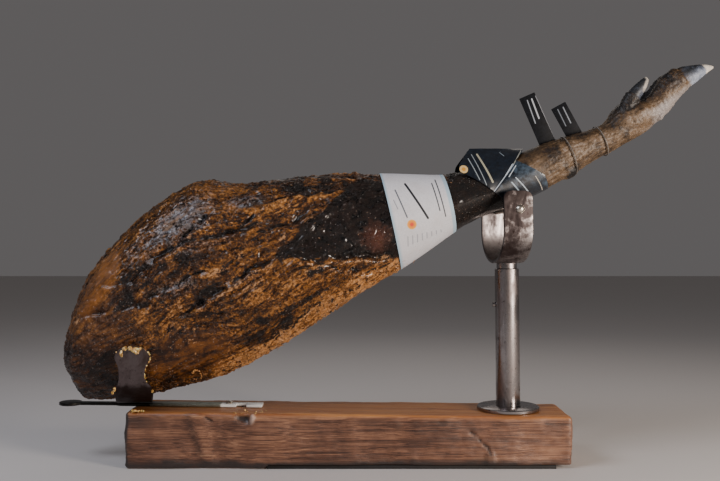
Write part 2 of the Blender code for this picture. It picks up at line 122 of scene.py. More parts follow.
def copy_of_node(node_name, name):
    """A CAD node's mesh as a piece of its own, with its loose triangles merged into quads."""
    piece = bpy.data.objects.new(name, frame["nodes"][node_name].data.copy())
    bpy.context.scene.collection.objects.link(piece)
    piece.data.materials.clear()
    with edit_mode(piece):
        bpy.ops.mesh.remove_doubles(threshold=0.00002)
        bpy.ops.mesh.tris_convert_to_quads(
            face_threshold=math.radians(40), shape_threshold=math.radians(60)
        )
    return piece


def cut_away(piece, point, normal):
    """Cuts a closed piece with a plane and keeps the side behind it, closed again."""
    with edit_mode(piece):
        bpy.ops.mesh.bisect(plane_co=point, plane_no=normal, use_fill=True, clear_outer=True)


def fine_skin(piece, voxel, rounds=2):
    """An even skin of small quads over a rounded copy of a coarse closed piece."""
    if rounds:
        new_modifier(piece, "SUBSURF", levels=rounds, render_levels=rounds)
    new_modifier(piece, "REMESH", mode="VOXEL", voxel_size=voxel, use_smooth_shade=True)
    new_modifier(piece, "SMOOTH", factor=0.5, iterations=6)
    apply_all(piece)


def get_points(mesh, what="co"):
    """The places of a mesh's points, or with "normal" their normals, one to a row."""
    values = np.zeros(len(mesh.vertices) * 3)
    mesh.vertices.foreach_get(what, values)
    return values.reshape(-1, 3)


def set_points(mesh, points):
    mesh.vertices.foreach_set("co", points.astype(np.float32).ravel())
    mesh.update()


def push_out(mesh, heights):
    """Moves the points of a mesh along their normals, each by its own height or all by one."""
    set_points(mesh, get_points(mesh) + get_points(mesh, "normal") * np.reshape(heights, (-1, 1)))


def paint(mesh, **fields):
    """Stores named numbers for each point of a mesh, for its material to read."""
    for name, values in fields.items():
        layer = mesh.attributes.new(name, "FLOAT", "POINT")
        layer.data.foreach_set("value", np.clip(values, -4, 4).astype(np.float32))


def paint_vector(mesh, name, vectors):
    """Stores one vector for each point of a mesh, for its material's textures to follow."""
    layer = mesh.attributes.new(name, "FLOAT_VECTOR", "POINT")
    layer.data.foreach_set("vector", vectors.astype(np.float32).ravel())


# ---------------------------------------------------------------- fields that shape the surface

def noise(points, seed=0):
    """Smooth gradient noise, about -1 to 1, with one cell to a unit."""
    cell = np.floor(points).astype(np.int64)
    inside = points - cell
    fade = inside**3 * (inside * (inside * 6 - 15) + 10)
    total = np.zeros(len(points))
    for corner in itertools.product((0, 1), repeat=3):
        at = cell + np.array(corner)
        code = (at[:, 0] * 73856093) ^ (at[:, 1] * 19349663) ^ (at[:, 2] * 83492791) ^ (seed * 971)
        code = (code ^ (code >> 13)) * 1274126177 & 0xFFFFFFFF
        code = (code ^ (code >> 15)) * 2246822519 & 0xFFFFFFFF
        turn = (code & 0xFFFF) / 65536 * math.tau
        rise = (code >> 16 & 0xFFFF) / 32768 - 1
        flat = np.sqrt(np.maximum(1 - rise * rise, 0))
        away = inside - np.array(corner)
        slope = away[:, 0] * flat * np.cos(turn) + away[:, 1] * flat * np.sin(turn) + away[:, 2] * rise
        weight = np.prod(np.where(np.array(corner) == 1, fade, 1 - fade), axis=1)
        total += weight * slope
    return total * 1.7


def layered(points, octaves, seed=0, gain=0.5):
    """Noise with finer and weaker noise on top of it."""
    total = np.zeros(len(points))
    for octave in range(octaves):
        total += gain**octave * noise(points * 2.03**octave + 17.3 * octave, seed + octave)
    return total


def creased(points, octaves, seed=0, gain=0.5):
    """Layered noise folded over, so that it has sharp valleys: 0 in a valley, up to 1."""
    total = np.zeros(len(points))
    weight = 0.0
    for octave in range(octaves):
        fine = noise(points * 2.1**octave + 9.1 * octave, seed + 31 * octave)
        total += gain**octave * np.minimum(np.abs(fine) * 2.2, 1.0)
        weight += gain**octave
    return total / weight


def ease(values, start, end):
    """0 before start, 1 after end, smooth between."""
    t = np.clip((values - start) / (end - start), 0, 1)
    return t * t * (3 - 2 * t)


def patch(x, z, centre, radii, degrees=0.0, soft=0.5):
    """1 inside a tilted ellipse in the side view, 0 outside it, given in mm."""
    turn = math.radians(degrees)
    along, across = axes_at(x / MM, z / MM, centre, (math.cos(turn), math.sin(turn)))
    return 1 - ease(np.hypot(along / radii[0], across / radii[1]), 1 - soft, 1 + soft)


def axes_at(x, z, origin, unit):
    """Distances along a direction and across it, from a place in the side view."""
    dx, dz = x - origin[0], z - origin[1]
    return dx * unit[0] + dz * unit[1], dz * unit[0] - dx * unit[1]


def line_field(x, z, route):
    """Signed distance above a route in the side view, and the share of the way along it."""
    route = np.array(route) * MM
    steps = np.linalg.norm(np.diff(route, axis=0), axis=1)
    travelled = np.concatenate([[0], np.cumsum(steps)])
    best = np.full(len(x), 1e9)
    signed = np.zeros(len(x))
    share = np.zeros(len(x))
    for i, step in enumerate(steps):
        ax, az = route[i]
        ux, uz = (route[i + 1] - route[i]) / step
        along = np.clip((x - ax) * ux + (z - az) * uz, 0, step)
        gap_x = x - ax - along * ux
        gap_z = z - az - along * uz
        distance = np.hypot(gap_x, gap_z)
        closer = distance < best
        best = np.where(closer, distance, best)
        side = np.sign(-gap_x * uz + gap_z * ux)
        signed = np.where(closer, distance * side, signed)
        share = np.where(closer, (travelled[i] + along) / travelled[-1], share)
    return signed, share


# ---------------------------------------------------------------- materials

def colour(hex_code):
    """An sRGB hex colour as a linear colour with full alpha."""
    values = [int(hex_code[i:i + 2], 16) / 255 for i in (1, 3, 5)]
    return [*(v / 12.92 if v <= 0.04045 else ((v + 0.055) / 1.055) ** 2.4 for v in values), 1.0]


# the output that is used, and the settings, of the kinds of node that are used most
USUAL = {
    "Attribute": ("Fac", {}),
    "Math": (0, {"operation": "MULTIPLY"}),
    "Mix": (2, {"data_type": "RGBA"}),
    "TexCoord": ("Object", {}),
}


def add(tree, kind, inputs=(), output=None, stops=(), **settings):
    """Adds a node with its settings, its inputs' values or links, and a ramp's stops.

    A list fills the inputs in order, a dict by number or name, as for the factor and the
    two colours of a Mix node at 0, 6 and 7. Gives the node's usual output or the one asked for."""
    made = tree.nodes.new("ShaderNode" + kind)
    usual_output, usual_settings = USUAL.get(kind, (0, {}))
    for name, value in {**usual_settings, **settings}.items():
        setattr(made, name, value)
    for key, value in inputs.items() if isinstance(inputs, dict) else enumerate(inputs):
        if isinstance(value, bpy.types.NodeSocket):
            tree.links.new(value, made.inputs[key])
        else:
            made.inputs[key].default_value = colour(value) if isinstance(value, str) else value
    if stops:
        elements = made.color_ramp.elements
        while len(elements) < len(stops):
            elements.new(0.5)
        for element, (position, shade) in zip(elements, stops):
            element.position = position
            element.color = colour(shade)
    return made.outputs[usual_output if output is None else output]


def per_metre(*sizes):
    """A texture's scale from the size of its cells in mm, or from a size for each axis."""
    scales = [1 / (size * MM) for size in sizes]
    return scales if len(scales) > 1 else scales[0]


def start_material(name, **values):
    """A new material: its tree, its Principled shader and its Object coordinates."""
    material = bpy.data.materials.new(name)
    material.use_nodes = True
    tree = material.node_tree
    shader = tree.nodes["Principled BSDF"]
    for key, value in values.items():
        shader.inputs[key.replace("_", " ")].default_value = value
    return material, tree, shader, add(tree, "TexCoord")


def swayed(tree, value, *parts):
    """A value moved up and down by noises, each with its weight."""
    for noisy, weight in parts:
        value = add(tree, "Math", [
            value, add(tree, "Math", [noisy, weight, -0.5 * weight], operation="MULTIPLY_ADD"),
        ], operation="ADD")
    return value


def dress(tree, shader, base, rough=None, bump=None):
    """Links a base colour, a roughness, and a bump of (strength, distance, height)."""
    tree.links.new(base, shader.inputs["Base Color"])
    if rough is not None:
        tree.links.new(rough, shader.inputs["Roughness"])
    if bump is not None:
        bumpy = add(tree, "Bump", dict(zip(("Strength", "Distance", "Height"), bump)))
        tree.links.new(bumpy, shader.inputs["Normal"])


def meat_material():
    """Air-cured leg: rendered fat and dried meat under an oily skin, with mould bloom in places.

    Gives the eye amber fat, brown and black streaks along the leg, and small wet highlights.
    A grey-blue sheen over the mould bloom, shade in the creases and pale highlights are painted into the
    colour."""
    material, tree, shader, where = start_material(
        "air_cured_ham_surface", Specular_IOR_Level=0.28, Coat_Weight=0.32, Coat_Roughness=0.13,
    )
    flow = add(tree, "Attribute", output="Vector", attribute_name="flow")
    # bundles of muscle fibre and broader strands, both long along the flow, then flecks and clots;
    # the bundles are drawn coarser than real ones, which would not show
    fibre = add(tree, "TexNoise", {
        "Vector": add(tree, "Mapping", {"Vector": flow, "Scale": per_metre(7.692, 2.174, 2.174)}),
        "Scale": 1.0, "Detail": 5, "Roughness": 0.65, "Distortion": 0.6,
    })
    strand = add(tree, "TexNoise", {
        "Vector": add(tree, "Mapping", {"Vector": flow, "Scale": per_metre(23.81, 6.667, 6.667)}),
        "Scale": 1.0, "Detail": 5, "Roughness": 0.65, "Distortion": 0.9,
    })
    fleck = add(tree, "TexNoise", {
        "Vector": where, "Scale": per_metre(3.03), "Detail": 5, "Roughness": 0.68,
    })
    clot = add(tree, "TexNoise", {
        "Vector": where, "Scale": per_metre(8.333), "Detail": 5, "Roughness": 0.7, "Distortion": 0.8,
    })
    tone = swayed(
        tree, add(tree, "Attribute", attribute_name="tone"), (fibre, 1.3), (strand, 1.1), (fleck, 1.9),
    )
    glow = swayed(tree, add(tree, "Attribute", attribute_name="tone"), (clot, 0.7), (strand, 0.6))
    quiet = add(tree, "Attribute", attribute_name="quiet")
    tone = add(tree, "Mix", {0: quiet, 6: tone, 7: glow})
    base = add(tree, "ValToRGB", {"Fac": tone}, stops=[
        (0.0, "#0b0604"), (0.25, "#251207"), (0.45, "#4e2d11"), (0.6, "#744819"), (0.78, "#9f6628"),
        (1.0, "#d49659"),
    ])
    amber = add(tree, "MapRange", [
        swayed(tree, add(tree, "Attribute", attribute_name="amber"), (clot, 0.9)), 0.25, 0.85,
    ])
    fat = add(tree, "Mix", {0: add(tree, "MapRange", [glow, 0.15, 0.7]), 6: "#281305", 7: "#885116"})
    base = add(tree, "Mix", {0: add(tree, "Math", [amber, 0.93]), 6: base, 7: fat})
    dark = swayed(
        tree, add(tree, "Attribute", attribute_name="dark"), (clot, 1.9), (fleck, 2.0), (fibre, 1.2),
    )
    # the black of the tarry patches, which is also painted into the crease valleys as painted shade
    tar_and_crease_shade = add(tree, "Mix", {0: add(tree, "MapRange", [clot, 0.4, 0.62]), 6: "#060404", 7: "#23140a"})
    base = add(tree, "Mix", {0: add(tree, "MapRange", [dark, 0.4, 0.72]), 6: base, 7: tar_and_crease_shade})
    flush = swayed(tree, add(tree, "Attribute", attribute_name="red"), (clot, 1.0), (fleck, 0.6))
    base = add(tree, "Mix", {0: add(tree, "MapRange", [flush, 0.25, 0.95]), 6: base, 7: "#613828"})
    # the grey-blue of the mould bloom: on the labelled side it is partly a painted sheen, behind it is mould
    # bloom alone
    chalk = swayed(
        tree, add(tree, "Attribute", attribute_name="bloom"), (fleck, 3.4), (clot, 2.4), (fibre, 1.8),
    )
    chalk = add(tree, "MapRange", [chalk, 0.55, 1.25, 0.0, 0.85])
    mould_and_sheen = add(tree, "Mix", {0: add(tree, "MapRange", [strand, 0.42, 0.58]), 6: "#957d6c", 7: "#858892"})
    base = add(tree, "Mix", {0: chalk, 6: base, 7: mould_and_sheen})
    # salt grains about a millimetre across, one to a cell at most, drawn just coarse enough to show
    salt = add(tree, "TexVoronoi", {"Vector": where, "Scale": per_metre(2.632)})
    grain = add(tree, "SeparateColor", {"Color": salt.node.outputs["Color"]}, "Red")
    dots = add(tree, "Math", [
        add(tree, "MapRange", [salt, 0.26, 0.12]),
        add(tree, "MapRange", [grain, 0.72, 0.8]),
    ])
    base = add(tree, "Mix", {0: add(tree, "Math", [dots, 0.6]), 6: base, 7: "#a9a29e"})
    # the pale mix is mostly painted highlight: on the crease lips, on flakes and on small glint spots
    pale = add(tree, "MapRange", [
        swayed(tree, add(tree, "Attribute", attribute_name="pale"), (fibre, 2.0), (fleck, 2.2)), 0.45, 0.85,
    ])
    base = add(tree, "Mix", {0: add(tree, "Math", [pale, 0.8]), 6: base, 7: "#dba676"})
    rough = add(tree, "MapRange", [
        swayed(tree, add(tree, "Attribute", attribute_name="tone"), (clot, 2.0)), 0.2, 0.9, 0.24, 0.5,
    ])
    for weight, extra in (
        (0.25, chalk), (0.12, amber), (0.3, add(tree, "Attribute", attribute_name="neck")),
    ):
        rough = add(tree, "Math", [extra, weight, rough], operation="MULTIPLY_ADD")
    # pores are a few tenths of a millimetre wide and are drawn coarser so that they show
    pores = add(
        tree, "TexVoronoi", {"Vector": where, "Scale": per_metre(2.381)}, feature="SMOOTH_F1",
    )
    level = add(tree, "Math", [
        add(tree, "Math", [amber, 0.75]), add(tree, "Math", [quiet, 0.6]),
    ], operation="MAXIMUM")
    lively = add(tree, "Math", [1.0, level], operation="SUBTRACT")
    relief = swayed(tree, 0.5, (fibre, 1.2), (strand, 1.4), (fleck, 1.8), (pores, 0.8))
    dress(tree, shader, base, rough, (lively, 0.0026, relief))
    return material


def skin_material():
    """Dried skin of the shank and trotter: grey-beige skin, brown stain and short dark hair."""
    material, tree, shader, where = start_material(
        "dried_trotter_skin", Roughness=0.55, Specular_IOR_Level=0.45, Coat_Weight=0.10, Coat_Roughness=0.30,
    )
    fine = add(tree, "TexNoise", {"Vector": where, "Scale": per_metre(2), "Detail": 4, "Roughness": 0.7})
    flow = add(tree, "Attribute", output="Vector", attribute_name="flow")
    # hair is about a tenth of a millimetre wide and is drawn coarser so that it shows
    hair = add(tree, "TexNoise", {
        "Vector": add(tree, "Mapping", {"Vector": flow, "Scale": per_metre(16.67, 1.111, 1.111)}),
        "Scale": 1.0, "Detail": 3, "Roughness": 0.6, "Distortion": 0.4,
    })
    cloud = add(tree, "TexNoise", {
        "Vector": where, "Scale": per_metre(14.29), "Detail": 5, "Roughness": 0.65,
    })
    tone = swayed(
        tree, add(tree, "Attribute", attribute_name="tone"), (fine, 0.8), (hair, 0.9), (cloud, 0.9),
    )
    base = add(tree, "ValToRGB", {"Fac": tone}, stops=[
        (0.0, "#0f0a07"), (0.3, "#291c13"), (0.52, "#46341f"), (0.75, "#655039"), (1.0, "#7c7067"),
    ])
    clot = add(tree, "TexNoise", {
        "Vector": where, "Scale": per_metre(6.667), "Detail": 5, "Roughness": 0.7, "Distortion": 0.6,
    })
    dark = add(tree, "MapRange", [
        swayed(tree, add(tree, "Attribute", attribute_name="dark"), (clot, 1.6), (hair, 1.4)), 0.3, 0.8,
    ])
    base = add(tree, "Mix", {0: dark, 6: base, 7: "#0f0a08"})
    pale = add(tree, "MapRange", [
        swayed(tree, add(tree, "Attribute", attribute_name="pale"), (fine, 0.9), (clot, 1.1)), 0.25, 0.95,
    ])
    base = add(tree, "Mix", {0: pale, 6: base, 7: "#837c79"})
    shade = swayed(
        tree, add(tree, "Attribute", attribute_name="bright"),
        (
            add(tree, "TexNoise", {
                "Vector": where, "Scale": per_metre(5.263), "Detail": 4, "Roughness": 0.6,
            }),
            0.9,
        ),
    )
    horn = add(tree, "ValToRGB", {"Fac": shade}, stops=[
        (0.1, "#15181d"), (0.45, "#474e5b"), (0.7, "#727b8b"), (0.95, "#99a1af"),
    ])
    base = add(tree, "Mix", {0: add(tree, "Attribute", attribute_name="horn"), 6: base, 7: horn})
    base = add(tree, "Mix", {0: add(tree, "Attribute", attribute_name="chalk"), 6: base, 7: "#e4ddd0"})
    dress(tree, shader, base, bump=(0.6, 0.0008, swayed(tree, fine, (hair, 1.2))))
    return material


def wood_material():
    """Rough-hewn pine under old varnish: orange top, grain along the beam, dark knots, dirt and painted
    shade.
    """
    material, tree, shader, where = start_material(
        "varnished_rough_pine", Roughness=0.45, Specular_IOR_Level=0.5, Coat_Weight=0.2, Coat_Roughness=0.3,
    )
    # growth rings about a millimetre apart, long along the beam, on broader bands of pith
    grain = add(tree, "TexNoise", {
        "Vector": add(tree, "Mapping", {"Vector": where, "Scale": per_metre(83.33, 1.111, 1.111)}),
        "Scale": 1.0, "Detail": 5, "Roughness": 0.65, "Distortion": 0.4,
    })
    pith = add(tree, "TexNoise", {
        "Vector": add(tree, "Mapping", {"Vector": where, "Scale": per_metre(250, 5.882, 5.882)}),
        "Scale": 1.0, "Detail": 5, "Roughness": 0.65, "Distortion": 0.8,
    })
    stain = add(tree, "TexNoise", {
        "Vector": where, "Scale": per_metre(31.25), "Detail": 4, "Roughness": 0.6,
    })
    tone = swayed(
        tree, add(tree, "Attribute", attribute_name="tone"), (grain, 1.1), (pith, 1.1), (stain, 0.6),
    )
    base = add(tree, "ValToRGB", {"Fac": tone}, stops=[
        (0.05, "#24140e"), (0.3, "#452a1d"), (0.5, "#674431"), (0.7, "#896047"), (1.0, "#b08c6c"),
    ])
    varnish = add(tree, "Mix", {0: add(tree, "MapRange", [pith, 0.35, 0.65]), 6: "#8d5228", 7: "#b87d42"})
    base = add(tree, "Mix", {
        0: add(tree, "Math", [add(tree, "Attribute", attribute_name="top"), 0.8]), 6: base, 7: varnish,
    })
    # knots and the bark hole are dark, and the same dark is painted beside the ridge and into the cracks as
    # painted shade
    base = add(tree, "Mix", {0: add(tree, "Attribute", attribute_name="knot"), 6: base, 7: "#1d0f0b"})
    # darkening: dirt, and painted shade over the left end of the beam
    grime = add(tree, "MapRange", [
        swayed(tree, add(tree, "Attribute", attribute_name="grime"), (stain, 1.5), (grain, 0.8)), 0.3, 0.9,
    ])
    base = add(tree, "Mix", {0: grime, 6: base, 7: "#2d221e"})
    base = add(tree, "Mix", {
        0: add(tree, "Math", [add(tree, "Attribute", attribute_name="resin"), 0.8]), 6: base, 7: "#b39a8c",
    })
    dress(tree, shader, base, add(tree, "MapRange", [grain, 0.3, 0.7, 0.3, 0.58]), (0.7, 0.001, grain))
    return material


def steel_material(name, tint, grime, dirt_share, smooth=0.24):
    """Worn stainless steel with dried grease: bright where wiped, brown and dull where not."""
    material, tree, shader, where = start_material(name, Metallic=1.0)
    smear = add(tree, "TexNoise", {
        "Vector": add(tree, "Mapping", {"Vector": where, "Scale": per_metre(20.83, 20.83, 46.3)}),
        "Scale": 1.0, "Detail": 5, "Roughness": 0.62, "Distortion": 0.5,
    })
    film = add(tree, "MapRange", [smear, dirt_share, dirt_share + 0.22, 0.0, 0.8])
    base = add(tree, "Mix", {0: film, 6: tint, 7: grime})
    specks = add(tree, "TexNoise", {
        "Vector": where, "Scale": per_metre(7.692), "Detail": 4, "Roughness": 0.7,
    })
    # stain: grease blots; on the fork also painted dark reflection and shade, and on the cradle darker
    # towards its foot
    stain = add(tree, "MapRange", [
        swayed(tree, add(tree, "Attribute", attribute_name="stain"), (smear, 1.2), (specks, 1.4)), 0.3, 0.9,
    ])
    base = add(tree, "Mix", {0: add(tree, "Math", [stain, 0.85]), 6: base, 7: "#2a1f1d"})
    spots = add(tree, "MapRange", [
        add(tree, "TexNoise", {"Vector": where, "Scale": per_metre(4.762), "Detail": 3, "Roughness": 0.6}),
        0.62, 0.72, 0.0, 0.7,
    ])
    base = add(tree, "Mix", {0: spots, 6: base, 7: "#2a1c18"})
    rough = swayed(tree, add(tree, "MapRange", [film, 0.0, 0.8, smooth, smooth + 0.22]), (smear, 0.3))
    # brushed lines are finer than this in real steel and are drawn coarser so that they show
    brushed = add(tree, "TexNoise", {
        "Vector": add(tree, "Mapping", {"Vector": where, "Scale": per_metre(1.111, 1.111, 25)}),
        "Scale": 1.0, "Detail": 2, "Roughness": 0.6,
    })
    dress(
        tree, shader, base, add(tree, "Math", [stain, 0.25, rough], operation="MULTIPLY_ADD"),
        (0.15, 0.0003, brushed),
    )
    return material


def labelled_side(tree, where):
    """1 on the front of the leg, where the labels are read, and 0 behind."""
    depth = add(tree, "SeparateXYZ", {"Vector": where}, "Y")
    return add(tree, "MapRange", [depth, 0.0022, 0.0018])


def dotted(tree, where, base, centre, *discs):
    """Prints discs of (radius in mm, softness, shade) over a colour, on the labelled side only."""
    middle = (centre[0] * MM, 0, centre[1] * MM)
    gap = add(tree, "VectorMath", [
        add(tree, "VectorMath", [where, (1, 0, 1)], operation="MULTIPLY"), middle,
    ], "Value", operation="DISTANCE")
    labelled = labelled_side(tree, where)
    for radius, soft, shade in discs:
        disc = add(tree, "MapRange", [gap, radius * MM + soft, radius * MM - soft])
        base = add(tree, "Mix", {0: add(tree, "Math", [disc, labelled]), 6: base, 7: shade})
    return base


def rule_mask(tree, where, start, end, width):
    """1 on a straight printed rule between two points of the side view, all in mm."""
    first = Vector((start[0], 0, start[1])) * MM
    along = Vector((end[0], 0, end[1])) * MM - first
    offset = add(tree, "VectorMath", [
        add(tree, "VectorMath", [where, (1, 0, 1)], operation="MULTIPLY"), first,
    ], operation="SUBTRACT")
    share = add(tree, "VectorMath", [
        offset, along / along.length_squared,
    ], "Value", operation="DOT_PRODUCT")
    share = add(tree, "MapRange", [share, 0.0, 1.0])
    nearest = add(tree, "VectorMath", {0: along, "Scale": share}, operation="SCALE")
    gap = add(tree, "VectorMath", [offset, nearest], "Value", operation="DISTANCE")
    half = width * MM / 2
    return add(tree, "MapRange", [gap, half + 0.00015, half - 0.00015])


def ruled(tree, where, base, rules):
    """Prints rules of (start, end, width, shade) over a colour, on the labelled side only."""
    labelled = labelled_side(tree, where)
    for start, end, width, shade in rules:
        mask = add(tree, "Math", [rule_mask(tree, where, start, end, width), labelled])
        base = add(tree, "Mix", {0: mask, 6: base, 7: shade})
    return base


def band_material():
    """Matt white label paper, pale blue along both edges, with an orange dot and plain rules."""
    material, tree, shader, where = start_material(
        "uncoated_label_paper", Roughness=0.60, Specular_IOR_Level=0.35,
    )
    # single paper fibres would not show, so the paper has a coarser mottle
    fibre = add(tree, "TexNoise", {
        "Vector": where, "Scale": per_metre(1.429), "Detail": 3, "Roughness": 0.6,
    })
    cloud = add(tree, "TexNoise", {
        "Vector": where, "Scale": per_metre(16.67), "Detail": 3, "Roughness": 0.6,
    })
    base = add(tree, "Mix", {0: add(tree, "MapRange", [fibre, 0.3, 0.7]), 6: "#c3c4cb", 7: "#d6d6db"})
    base = add(tree, "Mix", {
        0: add(tree, "MapRange", [cloud, 0.45, 0.75, 0.0, 0.25]), 6: base, 7: "#b3a9a6",
    })
    base = add(tree, "Mix", {
        0: add(tree, "MapRange", [add(tree, "Attribute", attribute_name="edge"), 0.2, 0.8, 0.0, 0.75]),
        6: base, 7: "#8fb3c6",
    })
    base = ruled(tree, where, base, BAND_RULES)
    base = dotted(
        tree, where, base, BAND_DOT,
        (5.2, 0.0002, "#e5a94a"), (4.0, 0.0006, "#e88a2b"), (2.0, 0.0008, "#d8412c"),
    )
    dress(tree, shader, base, bump=(0.25, 0.0006, cloud))
    return material


def card_material():
    """Navy card with a satin print: pale rules along the fold, a beige dot, worn edges and a painted blue
    sheen on the wrapped part.
    """
    material, tree, shader, where = start_material(
        "navy_printed_card", Specular_IOR_Level=0.5, Coat_Weight=0.35, Coat_Roughness=0.22,
    )
    mottle = add(tree, "TexNoise", {
        "Vector": where, "Scale": per_metre(3.846), "Detail": 4, "Roughness": 0.6,
    })
    wear = add(tree, "TexNoise", {
        "Vector": where, "Scale": per_metre(13.33), "Detail": 4, "Roughness": 0.7,
    })
    base = add(tree, "Mix", {0: add(tree, "MapRange", [mottle, 0.35, 0.7]), 6: "#080d15", 7: "#131d29"})
    # painted sheen: pale blue on the wrapped part of the card
    sheen = add(tree, "MapRange", [
        swayed(tree, add(tree, "Attribute", attribute_name="wrap"), (wear, 2.2), (mottle, 0.8)), 0.75, 1.35,
        0.0, 0.45,
    ])
    base = add(tree, "Mix", {0: sheen, 6: base, 7: "#5d7488"})
    base = ruled(tree, where, base, CARD_RULES)
    base = dotted(tree, where, base, CARD_DOT, (4.6, 0.0002, "#d9bb80"), (2.3, 0.0006, "#c98f3c"))
    dress(tree, shader, base, add(tree, "MapRange", [wear, 0.35, 0.65, 0.3, 0.48]), (0.3, 0.0006, wear))
    return material


def tag_material():
    """Black moulded plastic of the seals, with pale printed rules."""
    material, tree, shader, where = start_material(
        "black_seal_plastic", Roughness=0.62, Specular_IOR_Level=0.15,
    )
    mottle = add(tree, "TexNoise", {
        "Vector": where, "Scale": per_metre(3.333), "Detail": 3, "Roughness": 0.6,
    })
    base = add(tree, "Mix", {0: add(tree, "MapRange", [mottle, 0.3, 0.7]), 6: "#08090c", 7: "#14161b"})
    dress(tree, shader, ruled(tree, where, base, TAG_RULES))
    return material


def fat_material():
    """Crumbs and smears of rendered fat: yellow, waxy and slightly see-through."""
    material, tree, shader, where = start_material(
        "rendered_fat", Roughness=0.32, Subsurface_Weight=0.3, Subsurface_Scale=0.002, Coat_Weight=0.3,
    )
    mottle = add(tree, "TexNoise", {
        "Vector": where, "Scale": per_metre(2.381), "Detail": 4, "Roughness": 0.6,
    })
    dress(
        tree, shader,
        add(tree, "ValToRGB", {"Fac": mottle}, stops=[
            (0.32, "#6b4a1d"), (0.5, "#c09a52"), (0.68, "#eadba6"),
        ]),
    )
    return material


def bar_material():
    """Thin steel bar: dark by the paddle as painted shade, grey-green along the middle, and bright at the end
    as painted light.
    """
    material, tree, shader, where = start_material("bar_steel_painted_light_and_shade", Metallic=1.0)
    along = add(tree, "SeparateXYZ", {"Vector": where}, "X")
    wear = add(tree, "TexNoise", {
        "Vector": where, "Scale": per_metre(7.692), "Detail": 4, "Roughness": 0.65,
    })
    place = swayed(tree, along, (wear, 0.06))
    # painted shade by the paddle, then the grey-green steel
    base = add(tree, "Mix", {0: add(tree, "MapRange", [place, -0.225, -0.195]), 6: "#2b2a28", 7: "#a0a598"})
    # painted light: the end is near white and less metallic
    bright = add(tree, "MapRange", [along, -0.1435, -0.1415])
    base = add(tree, "Mix", {0: bright, 6: base, 7: "#e6e8e6"})
    tree.links.new(add(tree, "MapRange", [bright, 0.0, 1.0, 1.0, 0.25]), shader.inputs["Metallic"])
    base = add(tree, "Mix", {0: add(tree, "MapRange", [wear, 0.58, 0.7, 0.0, 0.8]), 6: base, 7: "#3a2c20"})
    dress(tree, shader, base, add(tree, "MapRange", [wear, 0.3, 0.7, 0.25, 0.55]))
    return material


def plain_material(name, shade, rough, second, size=5, **values):
    """A finish in two close shades, mottled in patches of a size in mm."""
    material, tree, shader, where = start_material(name, Roughness=rough, **values)
    mottle = add(tree, "TexNoise", {
        "Vector": where, "Scale": per_metre(size), "Detail": 4, "Roughness": 0.6,
    })
    base = add(tree, "ValToRGB", {"Fac": mottle}, stops=[(0.35, shade), (0.65, second)])
    dress(tree, shader, base, bump=(0.2, 0.0004, mottle))
    return material


# ---------------------------------------------------------------- the ham

BOLT_LIFT = 0.0018  # the leg sinks a little onto its bolt
SPLIT_X = 0.1775  # the leg is made in two pieces that meet under the card collar
STAND_TURN = math.radians(12)  # the fork and the cradle are both turned this far
UPRIGHT_LEAN = math.radians(-0.5)  # the upright leans this far towards the leg
TOP_HEIGHT, TOP_FALL = 0.0585, 0.0105  # the beam's top at its middle, and its fall for each metre

# Plain print in place of words, in mm as (x, z): start, end, width and shade of each rule
BAND_DOT = (67.6, 262.0)
BAND_RULES = [
    ((50, 299), (62.5, 269.5), 1.5, "#5b5f68"), ((48, 288), (52.5, 278.5), 1.0, "#8b8f97"),
    ((61, 306), (85, 269), 2.4, "#202329"), ((90, 307), (98, 277), 1.3, "#3a3d44"),
    ((94, 311), (104.5, 271), 1.3, "#3a3d44"),
    *(((63.5 + 5.2 * i, 249 + 1.1 * i), (64.0 + 5.2 * i, 239 + 2.2 * i), 1.1, "#9a9ca6") for i in range(8)),
]
CARD_DOT = (125.7, 323.0)
CARD_RULES = [
    ((190.7, 345.0), (180.4, 328.5), 0.9, "#a9a89c"), ((180.4, 328.5), (157.6, 297.8), 0.9, "#b9c4cd"),
    ((179.3, 328.9), (170.8, 316.0), 0.8, "#c3cdd4"), ((182.6, 327.0), (174.4, 314.4), 0.8, "#c3cdd4"),
    ((136.3, 340.9), (149.5, 305.4), 0.9, "#8e979c"), ((132.0, 335.8), (142.3, 310.9), 1.0, "#8e979c"),
    ((142.5, 341.0), (156.5, 308.5), 2.0, "#a8a48e"), ((167.9, 343.2), (171.6, 338.8), 0.7, "#8d99a3"),
    ((181.9, 313.5), (200.2, 295.5), 1.1, "#b5c2cc"), ((177.4, 308.3), (185.5, 299.9), 1.4, "#9fb0bd"),
    ((203.8, 315.3), (214.1, 301.3), 0.8, "#b7b2a6"),
]
TAG_RULES = [
    ((199.5, 402.0), (208.5, 376.5), 1.2, "#8f959c"), ((204.5, 403.5), (212.5, 382.0), 1.6, "#a9aeb4"),
    ((208.6, 407.1), (229.3, 361.2), 0.6, "#8b8e94"), ((234.5, 392.5), (243.5, 374.0), 1.1, "#6f757c"),
    ((240.5, 395.0), (249.0, 377.5), 1.3, "#7f858c"),
]

